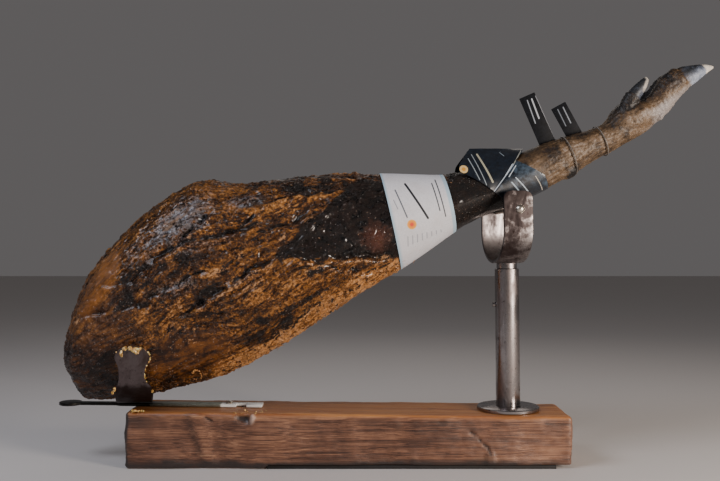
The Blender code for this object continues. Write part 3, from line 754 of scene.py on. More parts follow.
# Creases on the labelled side, in mm as (x, z): route, how far they cut in, their half width,
# and how far the lower lip stands out.
CREASES = [
    ([(-190, 160), (-165, 172), (-139, 190), (-113, 207), (-87, 222), (-66, 227)], 2.6, 2.6, 3.0),
    ([(-66, 227), (-31, 225), (-3, 229), (32, 228), (50, 226)], 3.0, 2.6, 2.0),
    ([(-177, 247), (-166, 257), (-156, 266), (-145, 274)], 5.5, 3.2, 1.6),
    ([(-214, 219), (-180, 241), (-141, 250), (-108, 258), (-82, 270)], 2.8, 3.0, 1.2),
    ([(-220, 178), (-198, 189), (-180, 200), (-155, 212), (-118, 230)], 2.6, 3.2, 1.4),
    ([(-166, 148), (-152, 156), (-138, 165), (-118, 180)], 1.8, 1.8, 0.8),
    ([(-103, 250), (-72, 260), (-44, 271), (-22, 276)], 2.8, 2.6, 1.4),
    ([(-128, 246), (-104, 268), (-82, 290), (-44, 295), (-2, 300)], 2.4, 2.6, 1.2),
    ([(4, 302), (-19, 276), (-38, 260), (-57, 236), (-70, 227)], -2.0, 2.2, 0.0),
    ([(-70, 212), (-31, 221), (2, 214), (20, 211), (42, 214)], 2.6, 2.2, 1.4),
    ([(-54, 181), (-24, 192), (4, 205), (26, 214)], 1.8, 2.4, 1.0),
    ([(-262, 196), (-240, 200), (-222, 203)], 1.4, 1.6, 0.6),
    ([(-294, 158), (-274, 167), (-250, 170)], 2.4, 1.8, 1.0),
    ([(-243, 170), (-226, 178), (-205, 176), (-188, 184)], 2.4, 3.0, 1.0),
]


# Patches on that side: middle, radii and tilt, then how strong they are
DARK_PATCHES = [
    ((-36, 306), (78, 8), 1, 0.75), ((-87, 156), (27, 18), 30, 0.85), ((-38, 179), (24, 8), 30, 0.55),
    ((-32, 214), (11, 7), 10, 1.0), ((0, 219), (44, 5), 3, 0.55), ((-220, 202), (22, 34), -10, 0.42),
    ((-275, 108), (27, 34), 0, 0.15), ((-178, 226), (25, 9), 10, 0.45), ((-41, 265), (15, 8), 15, 0.6),
    ((-113, 284), (26, 7), 10, 0.6), ((-150, 186), (16, 7), 40, 0.4), ((-176, 262), (30, 12), 38, 0.35),
    ((-236, 178), (16, 8), 10, 0.45), ((-15, 240), (30, 14), 5, 0.5), ((-120, 205), (40, 6), 28, 0.35),
]
# Grey-blue patches of painted sheen over mould bloom: middle, radii and tilt, then how strong they are
SHEEN_AND_BLOOM_PATCHES = [
    ((-176, 267), (40, 20), 36, 0.95), ((-214, 236), (26, 13), 30, 0.62), ((-112, 285), (26, 8), 12, 0.70),
    ((-181, 195), (30, 9), 15, 0.60), ((-150, 240), (26, 7), 16, 0.45),
]
# Small spots of painted highlight: middle, radii and tilt
GLINT_SPOTS = [
    ((-176, 176), (3, 6), 0), ((-136, 212), (8, 4), 20), ((-112, 229), (5, 3), 30), ((-68, 247), (5, 3), 40),
    ((40, 227), (8, 3), 10), ((-286, 160), (7, 4), -10), ((-97, 199), (12, 2), 32),
]


def side_profile(points):
    """The top and bottom of the leg at each point's x, read from the leg's own outline."""
    bins = np.linspace(points[:, 0].min(), points[:, 0].max(), 90)
    index = np.clip(np.digitize(points[:, 0], bins) - 1, 0, 88)
    middle = (bins[:-1] + bins[1:]) / 2
    high = np.array([points[index == i, 2].max() for i in range(89)])
    low = np.array([points[index == i, 2].min() for i in range(89)])
    return np.interp(points[:, 0], middle, high), np.interp(points[:, 0], middle, low)


def flow_space(points):
    """Coordinates that run along the leg's streaks, across them, and through the leg."""
    x, y, z = points.T
    high, low = side_profile(points)
    share = np.clip((z - low) / np.maximum(high - low, 0.02), 0, 1)
    across = (share - 0.9 * x) * 0.20
    along = 1.15 * x + 0.25 * z
    return along, across, y, share


def shape_meat():
    """The leg from the rump to the collar: its relief, and where its colours lie."""
    meat = copy_of_node("ham", "ham_meat")
    cut_away(meat, (SPLIT_X, 0, 0), (1, 0, 0))
    fine_skin(meat, 0.0018)
    mesh = meat.data
    points = get_points(mesh)
    normals = get_points(mesh, "normal")
    x, y, z = points.T
    along, across, depth, share = flow_space(points)
    near = ease(-y, -0.012, 0.012)

    def streaks(length, width, seed):
        return np.stack([along / length, across / width, depth / width + seed], axis=1)

    warp = 0.006 * layered(points / 0.045, 2, 5)
    across += warp
    broad = creased(streaks(0.110, 0.022, 1), 2, 11)
    middle = creased(streaks(0.045, 0.0085, 2), 3, 23)
    fine = creased(streaks(0.018, 0.0038, 3), 2, 37)
    scale = creased(streaks(0.009, 0.0022, 9), 2, 147)
    lumps = layered(points / 0.011, 3, 41)
    grit = layered(points / 0.0042, 2, 57)

    # Where the surface is calm: the amber rim, the soft fat by the cradle, and the taut black skin
    amber_rim = patch(x, z, (-262, 198), (48, 13), 62)
    soft_fat = patch(x, z, (-172, 122), (50, 27), 18)
    past_fold = (x / MM + 47) * 0.691 - (z / MM - 257) * 0.723
    taut = ease(past_fold, -4, 5) * ease(z / MM, 223, 231) * (1 - ease(z / MM, 302, 312)) * near
    rump = patch(x, z, (-286, 136), (58, 76), -8)
    calm = np.clip(amber_rim + soft_fat * near, 0, 1)

    relief = 2.6 * (broad - 0.55) + 2.0 * (middle - 0.5) + 0.9 * (fine - 0.5)
    relief = relief * (1 - 0.75 * calm) * (1 - 0.6 * taut) * (1 - 0.6 * rump)
    relief += (1.1 + 0.4 * rump) * lumps * (1 - 0.6 * calm)
    relief += 0.65 * grit * (1 - 0.6 * calm)
    crease_shade = np.zeros(len(x))
    lip_light = np.zeros(len(x))
    bent_x = x + 0.0025 * noise(points / 0.02, 71)
    bent_z = z + 0.003 * noise(points / 0.017, 73)
    broken = 0.35 + 0.65 * ease(noise(points / 0.011, 79), -0.35, 0.15)
    for route, cut, half, lip in CREASES:
        signed, way = line_field(bent_x, bent_z, route)
        ends = ease(way, 0, 0.18) * (1 - ease(way, 0.86, 1.0))
        width = half * MM * (0.55 + 0.45 * ends)
        valley = np.exp(-((signed / width) ** 2)) * (0.2 + 0.8 * ends) * broken
        ridge = np.exp(-(((signed + 2.2 * width) / (1.3 * width)) ** 2)) * ends
        relief += near * (lip * ridge - cut * valley)
        crease_shade = np.maximum(crease_shade, near * valley * min(abs(cut) / 3.5, 1.0) * (cut > 0))
        lip_light = np.maximum(lip_light, near * ridge * min(lip / 2.0, 1.0))
    lobe = patch(x, z, (-78, 182), (88, 25), 34, 0.6) * near
    relief += 3.0 * lobe

    # Under the paper band and the collar the surface keeps just inside the solid
    left, right = band_edges(z)
    under_band = ease(x / MM, left - 9, left - 1) * (1 - ease(x / MM, right, right + 7))
    under_card = ease(x / MM, 112, 124)
    hidden = np.clip(under_band + under_card, 0, 1)
    relief = relief * (1 - 0.92 * hidden) - 0.3 * hidden
    # In the cradle it is pressed flat
    band_x = (x - middle_x("cradle")) * math.cos(STAND_TURN) + y * math.sin(STAND_TURN)
    in_cradle = (1 - ease(np.abs(band_x), 0.021, 0.032)) * (1 - ease(z, 0.135, 0.155))
    relief = np.where(in_cradle > 0, relief * (1 - in_cradle) - 0.2 * in_cradle, relief)
    relief += 0.8 * ease(scale, 0.55, 0.85) * (1 - calm) * (1 - taut)
    relief += 2.4 * patch(x, z, (-153, 180), (10, 7), 35) * near
    relief -= 4.2 * patch(x, z, (-322, 125), (34, 85), -20, 0.9) * ease(-normals[:, 0], 0.2, 0.8)
    relief = np.clip(relief, -9, 6.5)
    push_out(mesh, relief * MM)

    # Tone: 0 is black-brown, 1 is pale gold
    stripe = layered(streaks(0.080, 0.0120, 5), 3, 83)
    small = layered(streaks(0.020, 0.0040, 6), 3, 97)
    cloud = layered(points / 0.030, 3, 101)
    tone = 0.45 + 0.13 * stripe + 0.10 * small + 0.08 * cloud
    # painted light and shade: the tone is lighter on the ridges of the relief and darker in its valleys
    tone += 0.30 * (middle - 0.45) + 0.16 * (fine - 0.5) + 0.020 * relief
    tone = tone * (1 - 0.35 * rump) + 0.35 * rump * (0.44 + 0.16 * cloud)
    gold_reach = 0.14 + 0.07 * ease(x, -0.09, -0.05)
    gold_edge = (1 - ease(share + 0.03 * cloud, gold_reach - 0.09, gold_reach)) * ease(x, -0.17, -0.12)
    gold_edge *= (1 - ease(x, 0.075, 0.095)) * (0.35 + 0.65 * near)
    gold_edge *= 0.45 + 0.55 * ease(small + cloud, -0.25, 0.15)
    tone += 0.64 * gold_edge + 0.06 * lobe - 0.14 * soft_fat * near + 0.06 * amber_rim
    tone += 0.10 * patch(x, z, (-142, 299), (30, 9), 4) + 0.10 * patch(x, z, (-60, 285), (52, 8), 15)
    tone -= 0.20 * patch(x, z, (-284, 104), (38, 40)) + 0.06 * patch(x, z, (-40, 300), (80, 20))

    blotch = ease(layered(points / 0.016, 3, 113) + 0.25 * stripe, -0.20, 0.45)
    vein = ease(layered(streaks(0.050, 0.0075, 8), 3, 127), -0.1, 0.5)
    neck = ease(x, 0.100, 0.116)
    dark = np.maximum(1.35 * taut, 1.25 * neck)
    for centre, radii, degrees, strength in DARK_PATCHES:
        dark += strength * patch(x, z, centre, radii, degrees, 0.6) * near * (0.35 + 0.65 * blotch)
    dark += (0.36 * vein + 0.16 * blotch) * (1 - calm) * (1 - 0.35 * gold_edge) * (1 - 0.35 * rump)
    dark += 0.45 * (1 - near) * ease(layered(points / 0.045, 3, 139), 0.05, 0.5)
    # the crease valleys are darkened as painted shade
    dark = np.maximum(dark, 1.1 * ease(crease_shade, 0.20, 0.75))
    # the crease lips are kept lighter, as painted light
    dark -= 0.25 * lip_light
    red = 0.8 * patch(x, z, (30, 248), (15, 16), 0, 0.95) * near
    amber = np.clip(0.95 * amber_rim + 1.0 * soft_fat, 0, 1) * (1 - 0.35 * blotch)
    # grey-blue patches of painted sheen and mould bloom on the labelled side; behind, mould bloom alone
    bloom = np.zeros(len(x))
    for centre, radii, degrees, strength in SHEEN_AND_BLOOM_PATCHES:
        bloom = np.maximum(bloom, strength * patch(x, z, centre, radii, degrees, 0.6) * near)
    bloom *= 1 - amber_rim
    bloom = np.maximum(bloom, 0.6 * (1 - near) * ease(layered(points / 0.050, 2, 131), 0.25, 0.6))
    # pale: painted highlight on the crease lips, on flakes along the golden edge and over the middle of the
    # side, and on the glint spots
    pale = 0.55 * ease(lip_light, 0.30, 0.95) * (0.4 + 0.6 * middle)
    flake = ease(scale, 0.62, 0.85)
    pale += 0.95 * gold_edge * flake
    pale += 0.42 * flake * near * ease(x, -0.24, -0.18) * (1 - taut) * ease(cloud, -0.3, 0.3)
    dark += 0.8 * gold_edge * ease(grit - 0.5 * flake, 0.0, 0.5)
    for centre, radii, degrees in GLINT_SPOTS:
        pale += 0.55 * patch(x, z, centre, radii, degrees, 0.7) * near
    paint_vector(mesh, "flow", np.stack([along, across, depth], axis=1))
    paint(
        mesh, tone=tone, dark=dark * (1 - 0.75 * amber) * (1 - 0.7 * red), bloom=bloom, amber=amber,
        pale=pale, red=red, quiet=0.75 * rump * (0.4 + 0.6 * near), neck=neck,
        fray=gold_edge * near * (0.3 + 0.7 * ease(small, -0.2, 0.3)),
    )
    smooth_by_angle(meat, 180)
    return finish_piece(meat, meat_material(), ["ham"])


def shape_shank():
    """The shank and the trotter: wrinkled skin, knuckle, claws and horn."""
    shank = copy_of_node("ham", "ham_shank")
    cut_away(shank, (SPLIT_X, 0, 0), (-1, 0, 0))
    fine_skin(shank, 0.0009, rounds=1)
    mesh = shank.data
    points = get_points(mesh)
    normals = get_points(mesh, "normal")
    x, y, z = points.T
    # Along and across the shank, then along the foot and each dewclaw
    leg_along, leg_across = axes_at(x, z, (0.179, 0.310), (0.890, 0.456))
    foot_along, foot_across = axes_at(x, z, (0.308, 0.375), (0.833, 0.553))
    claw_x, claw_z = x - 0.004 * (y > 0), z + 0.004 * (y > 0)
    claw_along = axes_at(claw_x, claw_z, (0.305, 0.388), (0.565, 0.825))[0]
    claw_side = -axes_at(claw_x, claw_z, (0.319, 0.407), (0.565, 0.825))[1]
    claw_edge = 0.0057 - (claw_along - 0.026) * 0.26
    claw = ease(claw_along, 0.0180, 0.0205) * (1 - ease(claw_side, 0.0066, 0.0074))
    toe_horn = ease(foot_along + 0.003 * layered(points / 0.006, 2, 219), 0.079, 0.084)
    horn = np.maximum(toe_horn, claw * (y < 0))
    lengthwise = np.stack([leg_along / 0.020, leg_across / 0.0045, y / 0.0045], axis=1)
    wrinkle = creased(lengthwise, 3, 201)
    cross = creased(np.stack([foot_along / 0.004, foot_across / 0.014, y / 0.014], axis=1), 2, 211)
    lumps = layered(points / 0.007, 3, 223)
    grit = layered(points / 0.0022, 2, 227)
    foot = ease(foot_along, -0.005, 0.01)
    relief = 0.9 * (wrinkle - 0.5) * (1 - foot) + 0.8 * (cross - 0.5) * foot * (1 - horn)
    relief += (0.55 * lumps + 0.22 * grit) * (1 - 0.8 * horn)
    coronet = np.exp(-(((foot_along - 0.080) / 0.0022) ** 2)) * (1 - claw)
    relief += -0.9 * coronet + 0.7 * np.exp(-(((foot_along - 0.0755) / 0.003) ** 2)) * (1 - claw)
    knuckle = patch(x, z, (247, 320), (7, 5), 25) * (y < 0.005)
    flap = patch(x, z, (345, 382.5), (4.5, 2.2), 45, 0.4) * (y < 0)
    relief += 2.2 * knuckle + 2.0 * flap - 1.1 * claw
    relief += 1.0 * ease(normals[:, 2], 0.2, 0.8) * ease(x, 0.192, 0.202) * (1 - ease(x, 0.250, 0.262))
    hidden = 1 - ease(x, 0.205, 0.222)
    relief = relief * (1 - 0.9 * hidden) - 0.2 * hidden
    push_out(mesh, relief * MM)

    top = ease(leg_across, 0.000, 0.014)
    stain = layered(points / 0.016, 3, 233)
    hair = creased(np.stack([leg_along / 0.012, leg_across / 0.0016, y / 0.0016], axis=1), 2, 239)
    tone = 0.55 + 0.16 * stain + 0.22 * (wrinkle - 0.5) + 0.10 * lumps
    tone += foot * (0.26 - 0.40 * ease(foot_across, -0.004, 0.010))
    tone += 0.12 * (1 - foot) * (1 - top)
    dark = 0.55 * ease(-stain, 0.05, 0.5) * (1 - 0.7 * foot)
    dark += 0.75 * foot * ease(foot_across, 0.006, 0.013) * ease(hair, 0.1, 0.6) * (1 - claw)
    dark += 0.9 * knuckle + 0.9 * claw * (y > 0)
    dark += 0.35 * foot * (1 - ease(foot_along, 0.015, 0.045)) * ease(foot_across, -0.012, 0.0)
    pale = 0.95 * foot * (1 - ease(foot_across, -0.008, 0.005)) * ease(foot_along, 0.012, 0.035)
    pale = np.maximum(pale, flap)
    rim = ease(claw_side, claw_edge - 0.0042, claw_edge - 0.0022) * ease(claw_along, 0.026, 0.032)
    claw_chalk = np.maximum(0.6 * rim, ease(claw_along, 0.0415, 0.0450)) * claw * (y < 0)
    chalk = np.maximum(0.8 * ease(foot_along + 0.0015 * lumps, 0.104, 0.107), 0.75 * claw_chalk)
    claw_bright = 0.05 + 0.35 * ease(claw_side, -0.004, 0.004)
    bright = np.where(claw > 0.5, claw_bright, 0.80 - 0.6 * ease(foot_across, 0.0, 0.011))
    paint(
        mesh, tone=tone, dark=np.clip(dark, 0, 1) * (1 - horn), horn=horn * (1 - chalk), pale=pale,
        chalk=chalk * (0.75 + 0.25 * ease(lumps, -0.4, 0.4)), bright=bright,
    )
    smooth_by_angle(shank, 180)
    return finish_piece(shank, skin_material())


# ---------------------------------------------------------------- the beam

def shape_beam():
    """The rough-hewn beam: grain, knots, a drying crack, and flats where steel lies on it."""
    beam = copy_of_node("beam", "pine_beam")
    fine_skin(beam, 0.0016, rounds=0)
    mesh = beam.data
    points = get_points(mesh)
    normals = get_points(mesh, "normal")
    x, y, z = points.T
    front = ease(-normals[:, 1], 0.3, 0.8)
    upper = ease(normals[:, 2], 0.3, 0.8)
    under = ease(-normals[:, 2], 0.3, 0.8)
    grain = creased(np.stack([x / 0.12, y / 0.006, z / 0.006], axis=1), 3, 301)
    hewn = layered(np.stack([x / 0.035, y / 0.05, z / 0.028], axis=1), 3, 307)
    relief = 0.55 * (grain - 0.5) + 1.1 * hewn * (1 - 0.6 * upper)
    # The knots: a bark hole by the top edge, a hollow beside it and a checked knot low on the right
    bark = patch(x, z, (-113, 55), (8, 5), -20) * front
    resin = patch(x, z, (-103, 54), (2.6, 5), -10) * front
    ridge = patch(x, z, (-157, 33), (8, 30), 17, 0.9) * front
    rise = patch(x, z, (-90, 32), (30, 24), 0, 0.9) * front
    right_knot = patch(x, z, (152, 12), (5, 8), 10) * front
    relief += -3.5 * bark + 2.6 * resin + 2.8 * ridge + 1.8 * rise + 1.6 * right_knot
    bent_z = z + 0.001 * noise(points / 0.006, 311)
    check = line_field(x, bent_z, [(131, 39), (137, 36), (143, 28), (149, 24), (152, 16)])[0]
    broken = 0.4 + 0.6 * ease(noise(points / 0.004, 313), -0.3, 0.1)
    crack = np.exp(-((check / 0.0012) ** 2)) * front * broken
    split = line_field(x, z, [(-153, 55), (-149, 53), (-146, 51)])[0]
    crack = np.maximum(crack, np.exp(-((split / 0.0010) ** 2)) * front * (x < -0.1))
    relief += -1.7 * crack
    # The top keeps flat under the flange and under the bar
    flat = patch(x, y, (middle_x("flange") / MM, 0), (44, 44), 0, 0.1)
    flat = np.maximum(flat, (1 - ease(x, -0.096, -0.088)) * (1 - ease(np.abs(y), 0.010, 0.014))) * upper
    relief = relief * (1 - under) * (1 - flat) - 0.25 * flat
    relief = np.clip(relief, -6, 3.5)
    push_out(mesh, relief * MM)
    # painted shade: the left side of the ridge and the cracks are darkened
    shade = patch(x, z, (-165, 33), (4, 28), 17, 0.9) * front
    knot = np.clip(0.9 * bark + 0.35 * right_knot + 0.9 * crack + 0.45 * shade, 0, 1)
    worn = np.exp(-(((z - TOP_HEIGHT + TOP_FALL * x + 0.002) / 0.003) ** 2)) * front
    # painted light: the ridge, the rise and the higher relief are made lighter
    tone = 0.42 + 0.14 * ease(x, 0.10, 0.22) + 0.14 * rise + 0.10 * ridge + 0.16 * worn + 0.03 * relief
    # painted shade: the whole left end is darkened; the front face darkens towards its foot, and a patch
    # below the cradle and the raised hewn parts darken as dirt
    grime = 0.9 * (1 - ease(z, 0.004, 0.014)) * front + 0.9 * (1 - ease(x, -0.2390, -0.2350))
    grime += 0.5 * patch(x, z, (-225, 50), (20, 8)) * front + 0.3 * ease(hewn, 0.1, 0.7)
    paint(mesh, knot=knot, top=np.clip(upper + 0.35 * worn, 0, 1), grime=grime, tone=tone, resin=resin)
    smooth_by_angle(beam, 180)
    return finish_piece(beam, wood_material(), ["beam"])


# ---------------------------------------------------------------- steel and labels

def leaned(piece):
    """Turns a piece of the upright about the post's foot, by its slight lean towards the leg."""
    foot = Matrix.Translation((middle_x("post"), 0, 0.075))
    piece.matrix_world = foot @ Matrix.Rotation(UPRIGHT_LEAN, 4, "Y") @ foot.inverted() @ piece.matrix_world
    return settle(piece)


def refined(
    node_name, name, material, bevel=0.0, angle=30, smooth=35, lean=False, shrink=0.0, lift=0.0,
):
    """A CAD node's shape, if asked shrunk, with broken edges, lifted or leaned, shaded smooth."""
    piece = copy_of_node(node_name, name)
    if shrink:
        push_out(piece.data, -shrink)
    if bevel:
        new_modifier(
            piece, "BEVEL", width=bevel, segments=2, limit_method="ANGLE",
            angle_limit=math.radians(angle), use_clamp_overlap=True,
        )
        apply_all(piece)
    smooth_by_angle(piece, smooth)
    if lift:
        piece.location.z = lift
        settle(piece)
    if lean:
        leaned(piece)
    return finish_piece(piece, material, [node_name])


def shape_tag(node_name, name, material, drop):
    """A flat seal tag, its foot drawn down by the drop to the skin of the shank."""
    tag = copy_of_node(node_name, name)
    points = get_points(tag.data)
    foot = points[:, 2] < points[:, 2].mean()
    axis = points[foot].mean(axis=0) - points[~foot].mean(axis=0)
    points[foot] += axis / np.linalg.norm(axis) * drop
    set_points(tag.data, points)
    new_modifier(tag, "BEVEL", width=0.0003, segments=2, angle_limit=math.radians(30))
    apply_all(tag)
    smooth_by_angle(tag, 35)
    return finish_piece(tag, material, [node_name])


def bent_band(name, edges_at, path_at, half_length, thickness, rows):
    """A flat grid laid along a path across the stand, cut to varying edges, then thickened."""
    bpy.ops.mesh.primitive_grid_add(x_subdivisions=14, y_subdivisions=rows, size=2)
    band = bpy.context.active_object
    band.name = name
    for vertex in band.data.vertices:
        along = vertex.co.y * half_length
        low, high = edges_at(along)
        y, z = path_at(along)
        vertex.co = ((low + high) / 2 + vertex.co.x * (high - low) / 2, y, z)
    new_modifier(band, "SOLIDIFY", thickness=thickness, offset=0.0)
    new_modifier(band, "BEVEL", width=thickness * 0.22, segments=2, angle_limit=math.radians(50))
    apply_all(band)
    return band


def half_pipe(radius, centre_height):
    """The path of a band that is bent to a half circle and then runs straight up at both ends."""
    quarter = radius * math.pi / 2

    def path_at(along):
        angle = max(min(along, quarter), -quarter) / radius
        rise = max(abs(along) - quarter, 0.0)
        return radius * math.sin(angle), centre_height - radius * math.cos(angle) + rise

    return path_at


def node_box(node_name):
    """The lowest and the highest corner of a CAD node."""
    solid = frame["nodes"][node_name]
    corners = np.array([solid.matrix_world @ vertex.co for vertex in solid.data.vertices])
    return corners.min(axis=0), corners.max(axis=0)


def middle_x(node_name):
    low, high = node_box(node_name)
    return (low[0] + high[0]) / 2


def shape_fork(material):
    """The fork's band with rounded corners, bored for its cross bolt, on a small weld."""
    width, thickness, radius, corner = 0.033, 0.003, 0.0345, 0.0085
    low, high = node_box("fork")
    post_x = middle_x("fork")
    centre_height = low[2] + radius + thickness / 2
    half_length = radius * math.pi / 2 + high[2] - centre_height

    def edges_at(along):
        short = max(corner - (half_length - abs(along)), 0.0)
        half = width / 2 - corner + math.sqrt(max(corner**2 - short**2, 0.0))
        return -half, half

    band = bent_band("fork_band", edges_at, half_pipe(radius, centre_height), half_length, thickness, 170)
    band.rotation_euler = (0, 0, STAND_TURN)
    band.location = (post_x, 0, 0)
    settle(band)
    bolt_low, bolt_high = node_box("cross_bolt")
    middle = (bolt_low + bolt_high) / 2 + Vector((0, 0, BOLT_LIFT))
    bpy.ops.mesh.primitive_cylinder_add(
        vertices=32, radius=0.0033, depth=0.1, location=middle, rotation=(math.radians(90), 0, STAND_TURN)
    )
    drill = bpy.context.active_object
    new_modifier(band, "BOOLEAN", operation="DIFFERENCE", object=drill, solver="EXACT")
    apply_all(band)
    bpy.data.objects.remove(drill)
    points = get_points(band.data)
    blots = layered(points / 0.012, 3, 403)
    # the outer face of the near arm is darkened as painted dark reflection, with grease blots on it; the
    # inner faces are painted darker as shade, most towards the foot
    outside = ease(-points[:, 1], 0.015, 0.028)
    stain = outside * (0.80 + 0.40 * ease(points[:, 2], 0.255, 0.272) * ease(blots, -0.35, 0.25))
    stain += (1 - outside) * (0.25 + 0.25 * (1 - ease(points[:, 2], 0.224, 0.238)))
    paint(band.data, stain=stain)
    smooth_by_angle(band, 40)
    finish_piece(leaned(band), material, ["fork"])
    bpy.ops.mesh.primitive_torus_add(
        location=(post_x, 0, low[2] - 0.0004), major_radius=0.0098, minor_radius=0.0015,
        major_segments=48, minor_segments=12,
    )
    weld = bpy.context.active_object
    weld.name = "fork_weld"
    settle(weld)
    push_out(weld.data, 0.0004 * noise(get_points(weld.data) / 0.003, 401))
    smooth_by_angle(weld, 180)
    finish_piece(leaned(weld), material)


def shape_cradle(material):
    """The cradle's band: round head with an ear on the right, a waist, and wide shoulders below."""
    thickness, radius = 0.0025, 0.06305
    turn = Matrix.Rotation(STAND_TURN, 4, "Z")
    low, high = node_box("cradle")
    turn.translation.x = middle_x("cradle")
    centre_height = low[2] + radius + thickness / 2
    half_length = radius * math.pi / 2 + high[2] - centre_height
    # Distance from the base along the band, and its edges left and right of the middle, in mm
    edge_places = [0, 30, 50, 57, 62, 66, 74, 82, 88, 92, 96, 99, 101, 102.5]
    edge_left = [19, 19, 18.5, 17, 15.2, 14.5, 14.0, 14.8, 17.0, 18.4, 17.2, 14.8, 12.0, 8.5]
    edge_right = [19, 19, 19.5, 18, 14.5, 12.8, 12.0, 14.0, 17.6, 18.6, 16.0, 13.0, 10.5, 7.5]

    def edges_at(along):
        place = abs(along) / half_length * edge_places[-1]
        left = np.interp(place, edge_places, edge_left)
        right = np.interp(place, edge_places, edge_right)
        return -left * MM, right * MM

    path_at = half_pipe(radius, centre_height)
    band = bent_band("cradle_band", edges_at, path_at, half_length, thickness, 190)
    band.matrix_world = turn
    settle(band)
    # the band is painted darker towards its foot
    paint(band.data, stain=1.1 * (1 - ease(get_points(band.data)[:, 2], 0.084, 0.098)))
    smooth_by_angle(band, 40)
    finish_piece(band, material, ["cradle"])

    # Smears of fat that were scraped off on the labelled side's edge
    smears = []
    spots = np.random.default_rng(7)
    drips = [(0.955 - 0.018 * i, -0.72 + 0.05 * i, 1.5 - 0.18 * i) for i in range(4)]
    crown = [(0.985, -0.75 + 0.15 * i, 1.1 + 0.75 * (i % 3 == 1)) for i in range(11)]
    heap = [(0.965, 0.05 + 0.14 * i, 1.9) for i in range(4)] + [(0.945, 0.3, 1.6), (0.93, 0.38, 1.1)]
    right_edge = [(0.60 + 0.012 * i, 1, 0.7) for i in range(33)]
    left_edge = [(0.95, -1, 1.0), (0.93, -1, 0.8), (0.52, -1.05, 1.4), (0.49, -1.06, 1.6), (0.45, -1.15, 1.2)]
    for share, side, size in (*drips, *crown, *heap, *right_edge, *left_edge, (0.47, 1, 1.5), (0.45, 1, 1.2)):
        along = -share * half_length
        left, right = edges_at(along)
        y, z = path_at(along)
        size *= spots.uniform(0.5, 1.45)
        if size > 0.45:
            x = (left + right) / 2 + side * (right - left) / 2
            smears.append((turn @ Vector((x, y - 0.0008, z)), size))
    lumps("fat_smears", smears, 401, rendered_fat)


def lumps(name, places, seed, material):
    """Soft irregular lumps at (place, radius in mm), run together into one skin."""
    made = []
    for place, radius in places:
        bpy.ops.mesh.primitive_ico_sphere_add(subdivisions=2, radius=radius * MM, location=place)
        made.append(bpy.context.active_object)
    activate(*made)
    bpy.ops.object.join()
    piece = settle(bpy.context.active_object)
    piece.name = name
    new_modifier(piece, "REMESH", mode="VOXEL", voxel_size=0.0004, use_smooth_shade=True)
    apply_all(piece)
    push_out(piece.data, 0.0007 * layered(get_points(piece.data) / 0.0022, 2, seed))
    smooth_by_angle(piece, 180)
    return finish_piece(piece, material)


def scatter_crumbs(meat):
    """Crumbs of fat on the beam, and one curl of fat that hangs by the lower edge of the leg."""
    spots = np.random.default_rng(5)
    places = [((-0.2320 + 0.0024 * i, -0.0385, 0.0622), 1.8 - 0.2 * i) for i in range(6)]
    for i in range(16):
        x, y = spots.uniform(-0.135, -0.085), spots.uniform(-0.0405, -0.022)
        places.append(((x, y, TOP_HEIGHT + 0.0001 - TOP_FALL * x), spots.uniform(0.55, 1.0)))
    lumps("fat_crumbs", places, 421, rendered_fat)
    skin = BVHTree.FromPolygons([v.co for v in meat.data.vertices], [p.vertices for p in meat.data.polygons])
    curl = []
    for i in range(9):
        turn = math.radians(150 - 26 * i)
        x, z = -0.1655 + 0.0042 * math.cos(turn), 0.0985 + 0.0062 * math.sin(turn)
        hit = skin.ray_cast(Vector((x, -0.3, z)), Vector((0, 1, 0)))[0]
        if hit:
            curl.append((tuple(hit + Vector((0, -0.0006, 0))), 1.5 - 0.09 * i))
    lumps("fat_curl", curl, 431, dried_fat)


def shape_bar(material):
    """The flat bar with its paddle and neck, and a notch in the labelled edge near its end."""
    bar = copy_of_node("cradle_bar", "flat_bar")
    low, high = node_box("cradle_bar")
    bpy.ops.mesh.primitive_cube_add(location=(high[0] - 0.0230, low[1] + 0.0040, (low[2] + high[2]) / 2))
    notch = bpy.context.active_object
    notch.scale = (0.0058, 0.0085, 0.02)
    new_modifier(bar, "BOOLEAN", operation="DIFFERENCE", object=notch, solver="EXACT")
    new_modifier(bar, "BEVEL", width=0.0004, segments=2, angle_limit=math.radians(40))
    apply_all(bar)
    bpy.data.objects.remove(notch)
    smooth_by_angle(bar, 40)
    return finish_piece(bar, material, ["cradle_bar"])


def rounded_sleeve(node_name, name, levels):
    """A sleeve's shape, with its facets rounded and its cut edges kept sharp."""
    piece = copy_of_node(node_name, name)
    work = bmesh.new()
    work.from_mesh(piece.data)
    crease = work.edges.layers.float.new("crease_edge")
    for edge in work.edges:
        if len(edge.link_faces) == 2 and edge.calc_face_angle(0) > math.radians(50):
            edge[crease] = 1.0
    work.to_mesh(piece.data)
    work.free()
    new_modifier(piece, "SUBSURF", levels=levels, render_levels=levels)
    apply_all(piece)
    return piece


def band_edges(z):
    """The x of the paper band's left and right edge at each height, in mm."""
    return 34 + (320 - z / MM) * 24 / 107, 104 + (318.5 - z / MM) * 15 / 63


def shape_band():
    """The paper band, with its two pale blue edges marked for its material."""
    band = rounded_sleeve("band_label", "paper_band", 2)
    x, _, z = get_points(band.data).T
    left, right = band_edges(z)
    share = (x / MM - left) / (right - left)
    paint(band.data, edge=1 - ease(share, 0.03, 0.06) + ease(share, 0.93, 0.96))
    smooth_by_angle(band, 40)
    return finish_piece(band, band_material(), ["band_label"])


